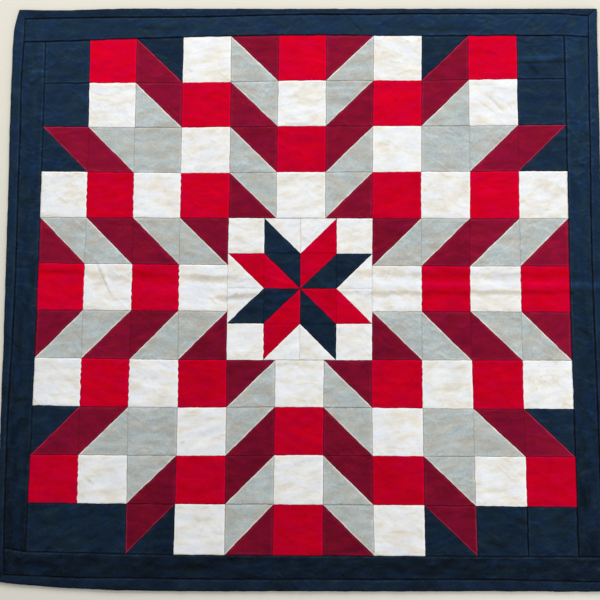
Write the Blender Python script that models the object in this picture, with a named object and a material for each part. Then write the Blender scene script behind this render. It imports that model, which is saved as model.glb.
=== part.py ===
"""A quilted table topper lying flat: a pieced panel, four border strips and a binding with mitred corners.

Frame: metres, +Z up, +Y towards the top of the design, origin on the surface under the middle of the outline.
The sizes below are in millimetres. Columns run left to right and rows run from the top down, in cells.
"""

from collections import namedtuple

import bmesh
import bpy
from mathutils import Vector

MM = 0.001
CELL = 50.8  # finished side of a cell, two inches
CELLS = 11
STAR_FIRST_CELL = 4  # the star block covers three cells each way from here
STAR_CELLS = 3
STAR_UNITS = 4  # the star block's own, finer squares each way
TWELFTHS = 12  # corners are kept in twelfths of a cell, which both grids divide
MIDDLE = Vector((1.11, -1.19))  # middle of the outline, seen from the middle of the even grid
GAP = 0.3  # between neighbouring pieces

SEAM_HEIGHT = 2.1  # top of the quilt down in a seam
SHOULDER_HEIGHT = 2.75
CROWN_HEIGHT = 3.0
SHOULDER_INSET = 1.8  # from a seam to the shoulder of a patch
CROWN_INSET = 4.5  # from the shoulder to the crown
CORNER_EASE = 0.012  # share of a side where the rounding of its corners starts

COTTON_ROUGHNESS = 0.85
NAVY = (0.011, 0.030, 0.065, 1.0)
OFF_WHITE = (0.86, 0.84, 0.79, 1.0)

# Patches by cell for columns 0 to 5, and mirrored for columns 6 to 10.
# A dot is a square, d is cut by a diagonal falling to the right, u by one rising, s is the star block.
PATCHES = (
    "..d.d.",
    "..d.d.",
    "dd..d.",
    "....d.",
    "ddddss",
    "....ss",
    "uuuuss",
    "....u.",
    "uu..u.",
    "..u.u.",
    "..u.u.",
)
STAR_PATCHES = (".du.", "dduu", "uudd", ".ud.")
LONG_PATCH = (10, 0)  # row and column of the square that runs on into the next one
MIRRORED = {".": ".", "d": "u", "u": "d", "s": "s"}

# How far the seams stray from the even grid, upwards for those that run across, at five places along each.
Across = namedtuple("Across", "left left_half middle right_half right")
ACROSS = (
    Across(-4.3, -0.5, 1.6, 0.4, 0.2),
    Across(-0.9, -0.9, 0.7, 0.6, 2.1),
    Across(0.6, -0.9, 0.4, -0.2, 0.9),
    Across(1.2, -0.9, -0.3, -0.3, -0.1),
    Across(1.5, 0.3, -0.5, -0.8, -0.9),
    Across(1.7, -0.2, -0.9, -2.0, -2.3),
    Across(2.0, 0.9, -0.5, 0.0, -0.4),
    Across(1.4, -0.7, -1.0, -1.1, -1.4),
    Across(1.8, -0.4, 0.4, -1.0, -1.2),
    Across(0.8, 0.3, 0.8, 0.1, -0.3),
    Across(2.2, 0.9, 1.0, 0.4, -0.7),
    Across(2.6, 0.2, -0.1, -0.3, -0.4),
)
# The same for the seams that run down, to the right.
Down = namedtuple("Down", "top top_half middle bottom_half bottom")
DOWN = (
    Down(0.5, 1.8, 2.6, 2.2, 0.9),
    Down(-1.6, 0.1, 0.6, 0.5, 1.8),
    Down(-2.2, -1.1, 0.1, 0.0, 1.5),
    Down(-2.0, -1.7, -1.2, 0.4, -0.2),
    Down(-1.6, -0.7, -0.9, -0.2, 0.5),
    Down(-0.3, -1.2, -0.9, -0.7, -1.0),
    Down(-0.5, -0.6, -0.9, -1.4, -1.5),
    Down(0.1, -1.1, -1.9, -2.0, 0.1),
    Down(0.7, -0.8, -1.2, -0.9, 0.6),
    Down(0.0, -0.1, -1.3, 0.1, 2.5),
    Down(0.7, 0.6, 0.5, 1.4, 3.2),
    Down(1.0, 1.1, 0.3, 1.4, 2.6),
)
STRAY_CELLS = (0.0, 3.0, 5.5, 8.0, 11.0)  # where along a seam the five places are

# The quilt's corners: the outer edge, the binding's seam, and how wide the border strip is beside each.
Corner = namedtuple("Corner", "edge seam strip")
CORNERS = {
    "top_left": Corner(Vector((-309.3, 312.9)), Vector((-301.7, 300.5)), 26.7),
    "top_right": Corner(Vector((316.6, 310.6)), Vector((306.7, 302.0)), 24.4),
    "bottom_right": Corner(Vector((315.5, -313.5)), Vector((306.5, -305.5)), 24.4),
    "bottom_left": Corner(Vector((-306.5, -307.5)), Vector((-297.6, -301.5)), 27.2),
}

# How far the edge and the binding's seam bow outwards between two corners, going clockwise.
Bow = namedtuple("Bow", "share edge seam")
BOWS = {
    "top": (
        Bow(0.07, -0.9, 0.8),
        Bow(0.17, 0.8, 1.1),
        Bow(0.32, 0.8, 1.3),
        Bow(0.49, 0.4, 2.7),
        Bow(0.62, 0.3, 0.9),
        Bow(0.76, 0.2, 2.5),
        Bow(0.88, 0.0, 1.6),
    ),
    "right": (
        Bow(0.03, -0.5, -0.2),
        Bow(0.12, -0.8, -1.1),
        Bow(0.25, -1.1, -2.1),
        Bow(0.40, -2.1, -3.0),
        Bow(0.52, -3.0, -3.6),
        Bow(0.68, -2.9, -3.3),
        Bow(0.80, -1.5, -1.9),
        Bow(0.92, -0.2, -0.7),
    ),
    "bottom": (
        Bow(0.03, 1.2, 0.2),
        Bow(0.18, 2.1, -1.1),
        Bow(0.34, 3.8, -0.2),
        Bow(0.50, 4.9, 0.9),
        Bow(0.67, 6.3, 1.8),
        Bow(0.79, 6.6, 0.8),
        Bow(0.87, 5.4, 1.4),
        Bow(0.94, 3.1, 0.9),
    ),
    "left": (
        Bow(0.08, 2.0, 0.9),
        Bow(0.18, 2.4, 1.6),
        Bow(0.27, 2.7, 1.8),
        Bow(0.42, 2.9, 0.5),
        Bow(0.55, 3.7, 0.9),
        Bow(0.68, 4.2, 1.5),
        Bow(0.78, 5.2, 1.0),
        Bow(0.88, 5.4, 1.6),
        Bow(0.96, 4.7, 0.4),
    ),
}
SIDE_CORNERS = {
    "top": ("top_left", "top_right"),
    "right": ("top_right", "bottom_right"),
    "bottom": ("bottom_right", "bottom_left"),
    "left": ("bottom_left", "top_left"),
}
FULL_WIDTH_SIDES = ("top", "bottom")  # their strips run from binding to binding

# Sections across a strip, from its inner seam to its outer one: share of the width, and height.
Section = namedtuple("Section", "share height")
BORDER_SECTION = (
    Section(0.0, 0.0),
    Section(0.0, SEAM_HEIGHT),
    Section(0.08, SHOULDER_HEIGHT),
    Section(0.28, CROWN_HEIGHT),
    Section(0.72, CROWN_HEIGHT),
    Section(0.92, SHOULDER_HEIGHT),
    Section(1.0, SEAM_HEIGHT),
    Section(1.0, 0.0),
)
BINDING_SECTION = (
    Section(0.0, 0.0),
    Section(0.0, SEAM_HEIGHT),
    Section(0.10, 3.0),
    Section(0.32, 3.5),
    Section(0.68, 3.5),
    Section(0.90, 2.8),
    Section(1.0, 1.5),
    Section(0.96, 0.5),
    Section(0.86, 0.0),
)


def through(places, values, at):
    """The value at one place of a smooth curve through the given values, straight on past its ends."""
    last = len(places) - 2
    piece = max([0] + [i for i in range(last + 1) if places[i] <= at])

    def slope(i):
        before = max(i - 1, 0)
        after = min(i + 1, last + 1)
        return (values[after] - values[before]) / (places[after] - places[before])

    start, end = places[piece], places[piece + 1]
    width = end - start
    if at < start:
        return values[0] + slope(0) * (at - start)
    if at > end:
        return values[-1] + slope(last + 1) * (at - end)
    t = (at - start) / width
    rise = values[piece + 1] - values[piece]
    first = slope(piece) * width
    second = slope(piece + 1) * width
    curve = 3 * rise - 2 * first - second
    twist = first + second - 2 * rise
    return values[piece] + first * t + curve * t * t + twist * t * t * t


def stray(seams, line, along):
    """How far a seam, or a line between two seams, strays from the even grid at a place along it."""
    before = min(int(line), CELLS - 1)
    part = line - before
    near = through(STRAY_CELLS, seams[before], along)
    far = through(STRAY_CELLS, seams[before + 1], along)
    return near * (1 - part) + far * part


def grid_point(column, row):
    """Where a place on the patchwork's grid lies, in mm from the middle of the even grid."""
    x = (column - CELLS / 2) * CELL + stray(DOWN, column, row)
    y = (CELLS / 2 - row) * CELL + stray(ACROSS, row, column)
    return Vector((x, y))


def placed(point, height):
    """A point of the quilt's own plane in the part's frame, in metres."""
    return Vector((point.x - MIDDLE.x, point.y - MIDDLE.y, height)) * MM


def patch_kind(row, column):
    """The letter of a cell: the chart's own for the left half, mirrored for the right half."""
    last = CELLS - 1
    if column <= last / 2:
        return PATCHES[row][column]
    return MIRRORED[PATCHES[row][last - column]]


def cut(kind, column, row, size):
    """The patches that a square is cut into, each a list of corners anticlockwise, in twelfths of a cell."""
    top_left = (column, row)
    bottom_left = (column, row + size)
    bottom_right = (column + size, row + size)
    top_right = (column + size, row)
    if kind == "d":
        return [[top_left, bottom_left, bottom_right], [top_left, bottom_right, top_right]]
    if kind == "u":
        return [[top_left, bottom_left, top_right], [top_right, bottom_left, bottom_right]]
    return [[top_left, bottom_left, bottom_right, top_right]]


def star_patches():
    """The patches of the eight-pointed star block."""
    start = STAR_FIRST_CELL * TWELFTHS
    unit = STAR_CELLS * TWELFTHS // STAR_UNITS
    patches = []
    for row in range(STAR_UNITS):
        for column in range(STAR_UNITS):
            patches += cut(STAR_PATCHES[row][column], start + column * unit, start + row * unit, unit)
    return patches


def patch_outlines():
    """The outlines of all patches, with the corners of neighbours added where they meet an edge."""
    outlines = star_patches()
    for row in range(CELLS):
        for column in range(CELLS):
            kind = patch_kind(row, column)
            if kind == "s" or (row, column - 1) == LONG_PATCH:
                continue
            pieces = cut(kind, column * TWELFTHS, row * TWELFTHS, TWELFTHS)
            if (row, column) == LONG_PATCH:
                pieces = [[(x * 2, y) for x, y in pieces[0]]]
            outlines += pieces
    corners = {corner for outline in outlines for corner in outline}
    return [with_neighbours(outline, corners) for outline in outlines]


def with_neighbours(outline, corners):
    """An outline with every corner that lies on one of its edges added in order."""
    full = []
    for start, end in zip(outline, outline[1:] + outline[:1]):
        along = (end[0] - start[0], end[1] - start[1])
        length = along[0] ** 2 + along[1] ** 2
        between = []
        for corner in corners:
            offset = (corner[0] - start[0], corner[1] - start[1])
            reach = offset[0] * along[0] + offset[1] * along[1]
            if offset[0] * along[1] == offset[1] * along[0] and 0 < reach < length:
                between.append((reach, corner))
        full.append(start)
        full += [corner for _, corner in sorted(between)]
    return full


def panel_corner(corner):
    """A patch corner's place in the panel, with half a gap left around the panel's outside."""
    size = CELLS * TWELFTHS
    point = grid_point(corner[0] / TWELFTHS, corner[1] / TWELFTHS)
    point.x += GAP / 2 * ((corner[0] == 0) - (corner[0] == size))
    point.y -= GAP / 2 * ((corner[1] == 0) - (corner[1] == size))
    return point


def cotton(name, colour):
    """A plain woven cotton."""
    material = bpy.data.materials.new(name)
    material.use_nodes = True
    shader = material.node_tree.nodes["Principled BSDF"]
    shader.inputs["Base Color"].default_value = colour
    shader.inputs["Roughness"].default_value = COTTON_ROUGHNESS
    shader.inputs["Metallic"].default_value = 0.0
    material.diffuse_color = colour
    return material


def add_piece(name, bm, colour):
    """Turns a finished bmesh into a named object with its own cotton."""
    bmesh.ops.recalc_face_normals(bm, faces=bm.faces)
    mesh = bpy.data.meshes.new(name)
    bm.to_mesh(mesh)
    bm.free()
    mesh.materials.append(cotton(name + "_cotton", colour))
    piece = bpy.data.objects.new(name, mesh)
    bpy.context.scene.collection.objects.link(piece)


def build_panel():
    """The pieced panel: a raised crown on every patch, and the seams between them as grooves."""
    bm = bmesh.new()
    outlines = patch_outlines()
    corners = sorted({corner for outline in outlines for corner in outline})
    verts = {corner: bm.verts.new(placed(panel_corner(corner), SEAM_HEIGHT)) for corner in corners}
    patches = [bm.faces.new([verts[corner] for corner in outline]) for outline in outlines]
    bm.normal_update()
    steps = ((SHOULDER_INSET, SHOULDER_HEIGHT - SEAM_HEIGHT), (CROWN_INSET, CROWN_HEIGHT - SHOULDER_HEIGHT))
    for inset, rise in steps:
        bmesh.ops.inset_individual(
            bm, faces=patches, thickness=inset * MM, depth=rise * MM, use_even_offset=True
        )
    rim = [edge for edge in bm.edges if edge.is_boundary]
    skirt = bmesh.ops.extrude_edge_only(bm, edges=rim)["geom"]
    for vert in skirt:
        if isinstance(vert, bmesh.types.BMVert):
            vert.co.z = 0.0
    hem = [edge for edge in skirt if isinstance(edge, bmesh.types.BMEdge) and edge.is_boundary]
    bmesh.ops.contextual_create(bm, geom=hem)
    add_piece("patchwork", bm, OFF_WHITE)


def side_point(side, line, share):
    """A point on the outer edge or on the binding's seam, at a share of the way along a side."""
    start, end = (getattr(CORNERS[name], line) for name in SIDE_CORNERS[side])
    places = [0.0] + [bow.share for bow in BOWS[side]] + [1.0]
    values = [0.0] + [getattr(bow, line) for bow in BOWS[side]] + [0.0]
    chord = end - start
    outwards = Vector((-chord.y, chord.x)).normalized()
    return start + chord * share + outwards * through(places, values, share)


def grid_side(side):
    """The patchwork's own corners along a side, going clockwise."""
    steps = range(CELLS + 1)
    places = {
        "top": [(step, 0) for step in steps],
        "right": [(CELLS, step) for step in steps],
        "bottom": [(CELLS - step, CELLS) for step in steps],
        "left": [(0, CELLS - step) for step in steps],
    }
    return [grid_point(column, row) for column, row in places[side]]


def seam_shares(side):
    """Shares of the way along a side where its rings stand: beside each corner of the patchwork."""
    first, last = (CORNERS[name] for name in SIDE_CORNERS[side])
    chord = last.seam - first.seam
    shares = [(point - first.seam).dot(chord) / chord.length_squared for point in grid_side(side)]
    if side not in FULL_WIDTH_SIDES:
        shares[0] = first.strip / chord.length
        shares[-1] = 1 - last.strip / chord.length
    return shares


def build_strip(name, inner, outer, section, gaps):
    """A closed strip lofted along two lines of points, with a share of each gap left beside it.

    gaps holds the room left at the inner line, at the outer line and at both ends, in mm.
    """
    inner_gap, outer_gap, end_gap = gaps
    rings = []
    for start, end in zip(inner, outer):
        across = end - start
        low = inner_gap / across.length
        high = 1 - outer_gap / across.length
        rings.append([(start + across * (low + (high - low) * at.share), at.height) for at in section])
    for ring, onward in ((rings[0], rings[1]), (rings[-1], rings[-2])):
        for place, (point, height) in enumerate(ring):
            inwards = (onward[place][0] - point).normalized()
            ring[place] = (point + inwards * end_gap, height)
    bm = bmesh.new()
    loops = [[bm.verts.new(placed(point, height)) for point, height in ring] for ring in rings]
    count = len(section)
    for near, far in zip(loops, loops[1:]):
        for at in range(count):
            after = (at + 1) % count
            bm.faces.new((near[at], near[after], far[after], far[at]))
    bm.faces.new(loops[0])
    bm.faces.new(loops[-1])
    add_piece(name, bm, NAVY)


def build_side(side):
    """The border strip and the binding along one side."""
    grid = grid_side(side)
    shares = seam_shares(side)
    seam = [side_point(side, "seam", share) for share in shares]
    bound = [0.0, CORNER_EASE] + shares + [1 - CORNER_EASE, 1.0]
    bound_seam = [side_point(side, "seam", share) for share in bound]
    edge = [side_point(side, "edge", share) for share in bound]
    half = GAP / 2
    if side in FULL_WIDTH_SIDES:
        sides = list(SIDE_CORNERS)
        before = sides[sides.index(side) - 1]
        after = sides[(sides.index(side) + 1) % len(sides)]
        start = side_point(before, "seam", seam_shares(before)[-1])
        end = side_point(after, "seam", seam_shares(after)[0])
        eased = CORNER_EASE / shares[0]
        inner = [start, start.lerp(grid[0], eased)] + grid + [end.lerp(grid[-1], eased), end]
        build_strip("border_" + side, inner, bound_seam, BORDER_SECTION, (half, half, half))
    else:
        build_strip("border_" + side, grid, seam, BORDER_SECTION, (half, half, half))
    mitre_gap = half * 2 ** 0.5
    build_strip("binding_" + side, bound_seam, edge, BINDING_SECTION, (half, 0.0, mitre_gap))


def main():
    """Clears the scene and builds the nine pieces."""
    for leftover in list(bpy.data.objects):
        bpy.data.objects.remove(leftover)
    build_panel()
    for side in SIDE_CORNERS:
        build_side(side)


main()
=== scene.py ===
"""The looks of a quilted table topper: its pieced cloth, border, binding and backing, lying on a pale floor.

Sizes in the plane are in millimetres of the frame's own X and Y. Columns run left to right and rows run from
the top down, in cells of the patchwork. Finished meshes are in metres.
"""

import logging
import math
from dataclasses import dataclass, field, replace
from enum import Enum
from functools import lru_cache

import bpy
import numpy as np
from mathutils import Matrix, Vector


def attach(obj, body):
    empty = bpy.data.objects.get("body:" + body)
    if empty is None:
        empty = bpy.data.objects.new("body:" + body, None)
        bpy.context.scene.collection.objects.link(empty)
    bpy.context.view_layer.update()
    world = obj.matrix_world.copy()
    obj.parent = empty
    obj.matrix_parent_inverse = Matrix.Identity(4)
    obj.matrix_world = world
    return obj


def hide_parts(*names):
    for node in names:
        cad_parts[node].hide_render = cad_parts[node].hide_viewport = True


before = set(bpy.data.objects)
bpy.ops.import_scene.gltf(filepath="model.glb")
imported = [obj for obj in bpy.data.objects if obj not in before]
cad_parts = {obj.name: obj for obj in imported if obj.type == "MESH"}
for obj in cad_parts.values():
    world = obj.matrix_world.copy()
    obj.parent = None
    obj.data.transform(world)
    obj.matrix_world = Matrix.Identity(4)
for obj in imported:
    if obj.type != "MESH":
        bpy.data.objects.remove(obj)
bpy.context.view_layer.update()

log = logging.getLogger("table_topper")

MM = 0.001
BODY = "root"
PANEL_NODE = "patchwork"
TURNING = 6.35  # seam allowance, a quarter of an inch

Place = tuple[float, float]
Point = tuple[float, float, float]
Colour = tuple[float, float, float]

# The patchwork by cell for columns 0 to 5, mirrored for columns 6 to 10. A letter is a square of that cloth:
# N navy, B burgundy, R red, G grey, W off-white. With d a diagonal falls to the right and the cloth at its
# lower left comes first, with u one rises to the right and the cloth at its upper left comes first. A * is
# part of the star block.
CHART = (
    ("N", "R", "dBN", "W", "dGB", "R"),
    ("N", "W", "dGB", "R", "dBG", "W"),
    ("dNB", "dBG", "G", "W", "dGB", "R"),
    ("W", "R", "W", "R", "dBG", "W"),
    ("dBG", "dGB", "dBG", "dGB", "*", "*"),
    ("R", "W", "R", "W", "*", "*"),
    ("uBG", "uGB", "uBG", "uGB", "*", "*"),
    ("W", "R", "W", "R", "uBG", "W"),
    ("uNB", "uBG", "G", "W", "uGB", "R"),
    ("R", "W", "uGB", "R", "uBG", "W"),
    ("N", "N", "uBN", "W", "uGB", "R"),
)
STAR = (
    ("W", "dNW", "uWR", "W"),
    ("dWR", "dRN", "uRN", "uNW"),
    ("uWN", "uNR", "dNR", "dRW"),
    ("W", "uRW", "dWN", "W"),
)
STAR_FIRST_CELL = 4
STAR_CELLS = 3
STAR_UNIT = STAR_CELLS / len(STAR)
LONG_PATCH = (10, 0)  # row and column of the square that runs on into the next one

# The seams stray from the even grid by so many mm at these cells of their length.
STRAY_CELLS = (0.0, 3.0, 5.5, 8.0, 11.0)
# How far up the seams that run across stray, from the top one down.
ACROSS = (
    (-4.0, 0.2, 2.1, 0.6, 0.4),
    (-0.9, -0.9, 0.7, 0.6, 2.1),
    (0.6, -0.9, 0.4, -0.2, 0.9),
    (1.2, -0.9, -0.3, -0.3, -0.1),
    (1.5, 0.3, -0.5, -0.8, -0.9),
    (1.7, -0.2, -0.9, -2.0, -2.3),
    (2.0, 0.9, -0.5, 0.0, -0.4),
    (1.4, -0.7, -1.0, -1.1, -1.4),
    (1.8, -0.4, 0.4, -1.0, -1.2),
    (0.8, 0.3, 0.8, 0.1, -0.3),
    (2.2, 0.9, 1.0, 0.4, -0.7),
    (2.6, 0.2, -0.1, -0.3, -0.4),
)
# How far to the right the seams that run down stray, from the left one on.
DOWN = (
    (0.5, 1.8, 2.6, 2.2, 0.9),
    (-1.6, 0.1, 0.6, 0.5, 1.8),
    (-2.2, -1.1, 0.1, 0.0, 1.5),
    (-2.0, -1.7, -1.2, 0.4, -0.2),
    (-1.6, -0.7, -0.9, -0.2, 0.5),
    (-0.3, -1.2, -0.9, -0.7, -1.0),
    (-0.5, -0.6, -0.9, -1.4, -1.5),
    (0.1, -1.1, -1.9, -2.0, 0.1),
    (0.7, -0.8, -1.2, -0.9, 0.6),
    (0.0, -0.1, -1.3, 0.1, 2.5),
    (0.7, 0.6, 0.5, 1.4, 3.2),
    (1.0, 1.1, 0.3, 1.4, 2.6),
)


def linear(red: float, green: float, blue: float) -> Colour:
    """Turns a colour as a screen shows it, 0 to 255, into the linear one that shaders use."""
    return tuple(((part / 255 + 0.055) / 1.055) ** 2.4 if part > 10 else part / 255 / 12.92
                 for part in (red, green, blue))


def curve_weights(places: tuple[float, ...], at: np.ndarray) -> np.ndarray:
    """Works out how much each of some places weighs in a smooth curve through them.

    Args:
        places: Where the curve's values stand, rising.
        at: Where the curve is read.

    Returns:
        A row of weights for each place that is read.
    """
    stands = np.asarray(places, float)
    at = np.asarray(at, float)
    values = np.eye(len(stands))
    slopes = np.empty_like(values)
    slopes[1:-1] = (values[2:] - values[:-2]) / (stands[2:] - stands[:-2])[:, None]
    slopes[0] = (values[1] - values[0]) / (stands[1] - stands[0])
    slopes[-1] = (values[-1] - values[-2]) / (stands[-1] - stands[-2])
    piece = np.clip(np.searchsorted(stands, at, side="right") - 1, 0, len(stands) - 2)
    width = (stands[piece + 1] - stands[piece])[:, None]
    t = (np.clip(at, stands[0], stands[-1]) - stands[piece])[:, None] / width
    rise = values[piece + 1] - values[piece]
    first = slopes[piece] * width
    second = slopes[piece + 1] * width
    inside = values[piece] + first * t
    inside += (3 * rise - 2 * first - second) * t ** 2 + (first + second - 2 * rise) * t ** 3
    before = np.minimum(at - stands[0], 0)[:, None] * slopes[0]
    after = np.maximum(at - stands[-1], 0)[:, None] * slopes[-1]
    return inside + before + after


def smooth_step(low: float, high: float, at: np.ndarray) -> np.ndarray:
    """Goes softly from 0 at low to 1 at high."""
    t = np.clip((at - low) / (high - low), 0, 1)
    return t * t * (3 - 2 * t)


def near(away: np.ndarray, reach: float) -> np.ndarray:
    """A soft peak: 1 where away is 0, and next to nothing at twice the reach."""
    return np.exp(-((away / reach) ** 2))


def fading(away: np.ndarray, reach: float) -> np.ndarray:
    """1 where away is 0, fading out over a few times the reach."""
    return np.exp(-away / reach)


def measured_along(start: Place, end: Place, place: np.ndarray) -> tuple[np.ndarray, np.ndarray, float]:
    """Measures places against a straight line.

    Args:
        start: Where the line starts.
        end: Where the line ends.
        place: The places.

    Returns:
        How far along the line each place lies, how far to its left, and the line's length.
    """
    length = math.dist(start, end)
    along = np.subtract(end, start) / length
    away = place - np.array(start)
    return away @ along, away @ np.array((-along[1], along[0])), length


def graded(count: int, grade: float) -> np.ndarray:
    """Shares from 0 to 1 in that many steps, closer together towards both ends as the grade rises past 1."""
    even = np.linspace(0, 1, count + 1)
    return even ** grade / (even ** grade + (1 - even) ** grade)


class Unevenness:
    """Smooth random values between -1 and 1 over a plane, the same on each run."""

    SIZE = 128

    def __init__(self, seed: int) -> None:
        """Fills the table that the values are read from."""
        self.table = np.random.default_rng(seed).uniform(-1, 1, (self.SIZE, self.SIZE))

    def at(self, x: np.ndarray, y: np.ndarray | float) -> np.ndarray:
        """Reads the values at some places, one unit being one step of the unevenness."""
        x, y = np.broadcast_arrays(np.asarray(x, float), np.asarray(y, float))
        column, row = np.floor(x).astype(int), np.floor(y).astype(int)
        u, v = ((part ** 3) * (part * (part * 6 - 15) + 10) for part in (x - column, y - row))
        left, right = column % self.SIZE, (column + 1) % self.SIZE
        low, high = row % self.SIZE, (row + 1) % self.SIZE
        first = self.table[low, left] * (1 - u) + self.table[low, right] * u
        second = self.table[high, left] * (1 - u) + self.table[high, right] * u
        return first * (1 - v) + second * v


@dataclass(frozen=True)
class Ripple:
    """Something that wavers along a line, in mm or as a share."""

    step: float  # how long its waves are, in mm
    row: float  # where it reads the unevenness, so that no two waver alike
    change: float  # how far it strays from what is usual
    usual: float = 0.0

    def at(self, rough: Unevenness, along: np.ndarray, row: np.ndarray | float = 0.0) -> np.ndarray:
        """Its size at some places along the line."""
        return self.usual + self.change * rough.at(along / self.step, row + self.row)


@dataclass(frozen=True)
class Grid:
    """The patchwork's grid of cells, as unevenly as it is sewn."""

    cell: float = 50.8
    cells: int = 11
    middle: Place = (1.11, -1.19)  # the outline's middle, seen from the middle of the even grid

    def stray(self, seams: tuple, line: np.ndarray, along: np.ndarray) -> np.ndarray:
        """How far seams, or lines between two seams, stray from the even grid.

        Args:
            seams: The table of the seams that run one way.
            line: Which seam each point is on, with parts for places between two seams.
            along: How many cells along it the point lies.

        Returns:
            The distances, in mm.
        """
        table = np.asarray(seams)
        before = np.clip(np.floor(line).astype(int), 0, self.cells - 1)
        part = line - before
        weights = curve_weights(STRAY_CELLS, along)
        first = (weights * table[before]).sum(axis=1)
        second = (weights * table[before + 1]).sum(axis=1)
        return first * (1 - part) + second * part

    def points(self, column: np.ndarray, row: np.ndarray) -> np.ndarray:
        """Where places on the grid lie in the frame, in mm."""
        x = (column - self.cells / 2) * self.cell + self.stray(DOWN, column, row) - self.middle[0]
        y = (self.cells / 2 - row) * self.cell + self.stray(ACROSS, row, column) - self.middle[1]
        return np.stack([x, y], axis=1)


@dataclass(frozen=True)
class Corner:
    """A corner of the quilt, in mm from the middle of the even grid."""

    edge: Place
    seam: Place
    strip: float  # width of the border beside it
    tone: float  # painted light: how light the cloth round it looks, from about 0 to 1
    mitre: float  # how dark its mitre looks: how deep it sinks, and how much painted shade and painted highlight it gets


class Line(Enum):
    """The two lines that run round the quilt, each with its column in the tables of bows."""

    EDGE = 1
    BINDING_SEAM = 2


TOP_LEFT = Corner((-309.3, 312.9), (-302.2, 301.7), 26.7, 0.90, 0.25)
TOP_RIGHT = Corner((316.6, 310.6), (306.7, 302.2), 24.4, 1.20, 0.85)
BOTTOM_RIGHT = Corner((315.5, -313.5), (306.5, -304.6), 24.4, 0.05, 0.30)
BOTTOM_LEFT = Corner((-306.5, -307.5), (-299.6, -300.2), 27.2, 0.0, 0.15)


@dataclass(frozen=True)
class Side:
    """One side of the quilt, going clockwise, with its border strip and its binding.

    Each row of bows gives a share of the way, and how far the edge and the binding's seam bow outwards
    there, in mm.
    """

    name: str
    first: Corner
    last: Corner
    full_width: bool  # its border strip runs from binding to binding
    bows: tuple[Point, ...]
    seam_shadow: float  # how dark the painted shade of the seam between border and patchwork is
    seam_shine: float  # how light the painted highlight on the border's pressed edge beside it is
    binding_painted_light: float  # how much lighter the binding looks than the border on this side, as painted light

    def tone(self, share: np.ndarray) -> np.ndarray:
        """How much painted light the cloth has at some shares of the way."""
        return self.first.tone + (self.last.tone - self.first.tone) * share

    def line(self, line: Line, share: np.ndarray, grid: Grid) -> np.ndarray:
        """Points on the edge or on the binding's seam at some shares of the way, in mm of the frame."""
        ends = [corner.edge if line is Line.EDGE else corner.seam for corner in (self.first, self.last)]
        start, end = np.array(ends)
        places = (0.0, *(bow[0] for bow in self.bows), 1.0)
        values = np.array((0.0, *(bow[line.value] for bow in self.bows), 0.0))
        chord = end - start
        outwards = np.array((-chord[1], chord[0])) / np.hypot(*chord)
        bowed = (curve_weights(places, share) @ values)[:, None] * outwards
        return start + chord * np.asarray(share)[:, None] + bowed - np.array(grid.middle)

    def length(self) -> float:
        """Length of the binding's seam from corner to corner, in mm."""
        return math.dist(self.first.seam, self.last.seam)

    def cells_along(self, at: np.ndarray, grid: Grid) -> tuple[np.ndarray, np.ndarray]:
        """The grid's columns and rows beside this side, at some numbers of cells from its first corner."""
        last = np.full_like(at, grid.cells)
        places = {
            "top": (at, last * 0),
            "right": (last, at),
            "bottom": (last - at, last),
            "left": (last * 0, last - at),
        }
        return places[self.name]

    def shares(self, grid: Grid) -> np.ndarray:
        """Shares of the way along the binding's seam that stand beside the corners of the patchwork."""
        points = grid.points(*self.cells_along(np.arange(grid.cells + 1.0), grid)) + np.array(grid.middle)
        start, chord = np.array(self.first.seam), np.subtract(self.last.seam, self.first.seam)
        shares = (points - start) @ chord / (chord @ chord)
        if not self.full_width:
            shares[0] = self.first.strip / self.length()
            shares[-1] = 1 - self.last.strip / self.length()
        return shares


SIDES = (
    Side("top", TOP_LEFT, TOP_RIGHT, True, (
        (0.07, -0.9, 0.8), (0.17, 0.8, 1.1), (0.32, 0.8, 1.3), (0.49, 0.4, 3.3), (0.62, 0.3, 2.9),
        (0.70, 0.3, 3.4), (0.80, 0.15, 2.9), (0.88, 0.0, 2.8), (0.95, 0.0, 2.4),
    ), seam_shadow=0.92, seam_shine=0.3, binding_painted_light=-0.45),
    Side("right", TOP_RIGHT, BOTTOM_RIGHT, False, (
        (0.03, -0.5, -0.2), (0.12, -0.8, -1.1), (0.25, -1.1, -1.8), (0.40, -2.1, -3.0),
        (0.52, -3.0, -2.7), (0.68, -2.4, -1.5), (0.80, -1.2, -0.8), (0.92, -0.2, -0.3),
    ), seam_shadow=0.8, seam_shine=0.4, binding_painted_light=0.05),
    Side("bottom", BOTTOM_RIGHT, BOTTOM_LEFT, True, (
        (0.03, 1.2, 0.3), (0.18, 2.1, -0.9), (0.34, 3.8, 0.1), (0.50, 4.9, 0.9),
        (0.67, 6.3, 2.0), (0.79, 6.6, 1.6), (0.87, 5.4, 2.1), (0.94, 3.1, 0.9),
    ), seam_shadow=0.45, seam_shine=1.0, binding_painted_light=0.18),
    Side("left", BOTTOM_LEFT, TOP_LEFT, False, (
        (0.08, 2.0, 1.4), (0.18, 2.4, 1.9), (0.27, 2.7, 2.2), (0.42, 2.9, 0.3), (0.55, 3.7, -0.3),
        (0.68, 4.2, 0.6), (0.78, 5.2, 0.6), (0.88, 5.4, 1.6), (0.96, 4.7, 0.2),
    ), seam_shadow=0.38, seam_shine=0.4, binding_painted_light=0.1),
)


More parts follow.
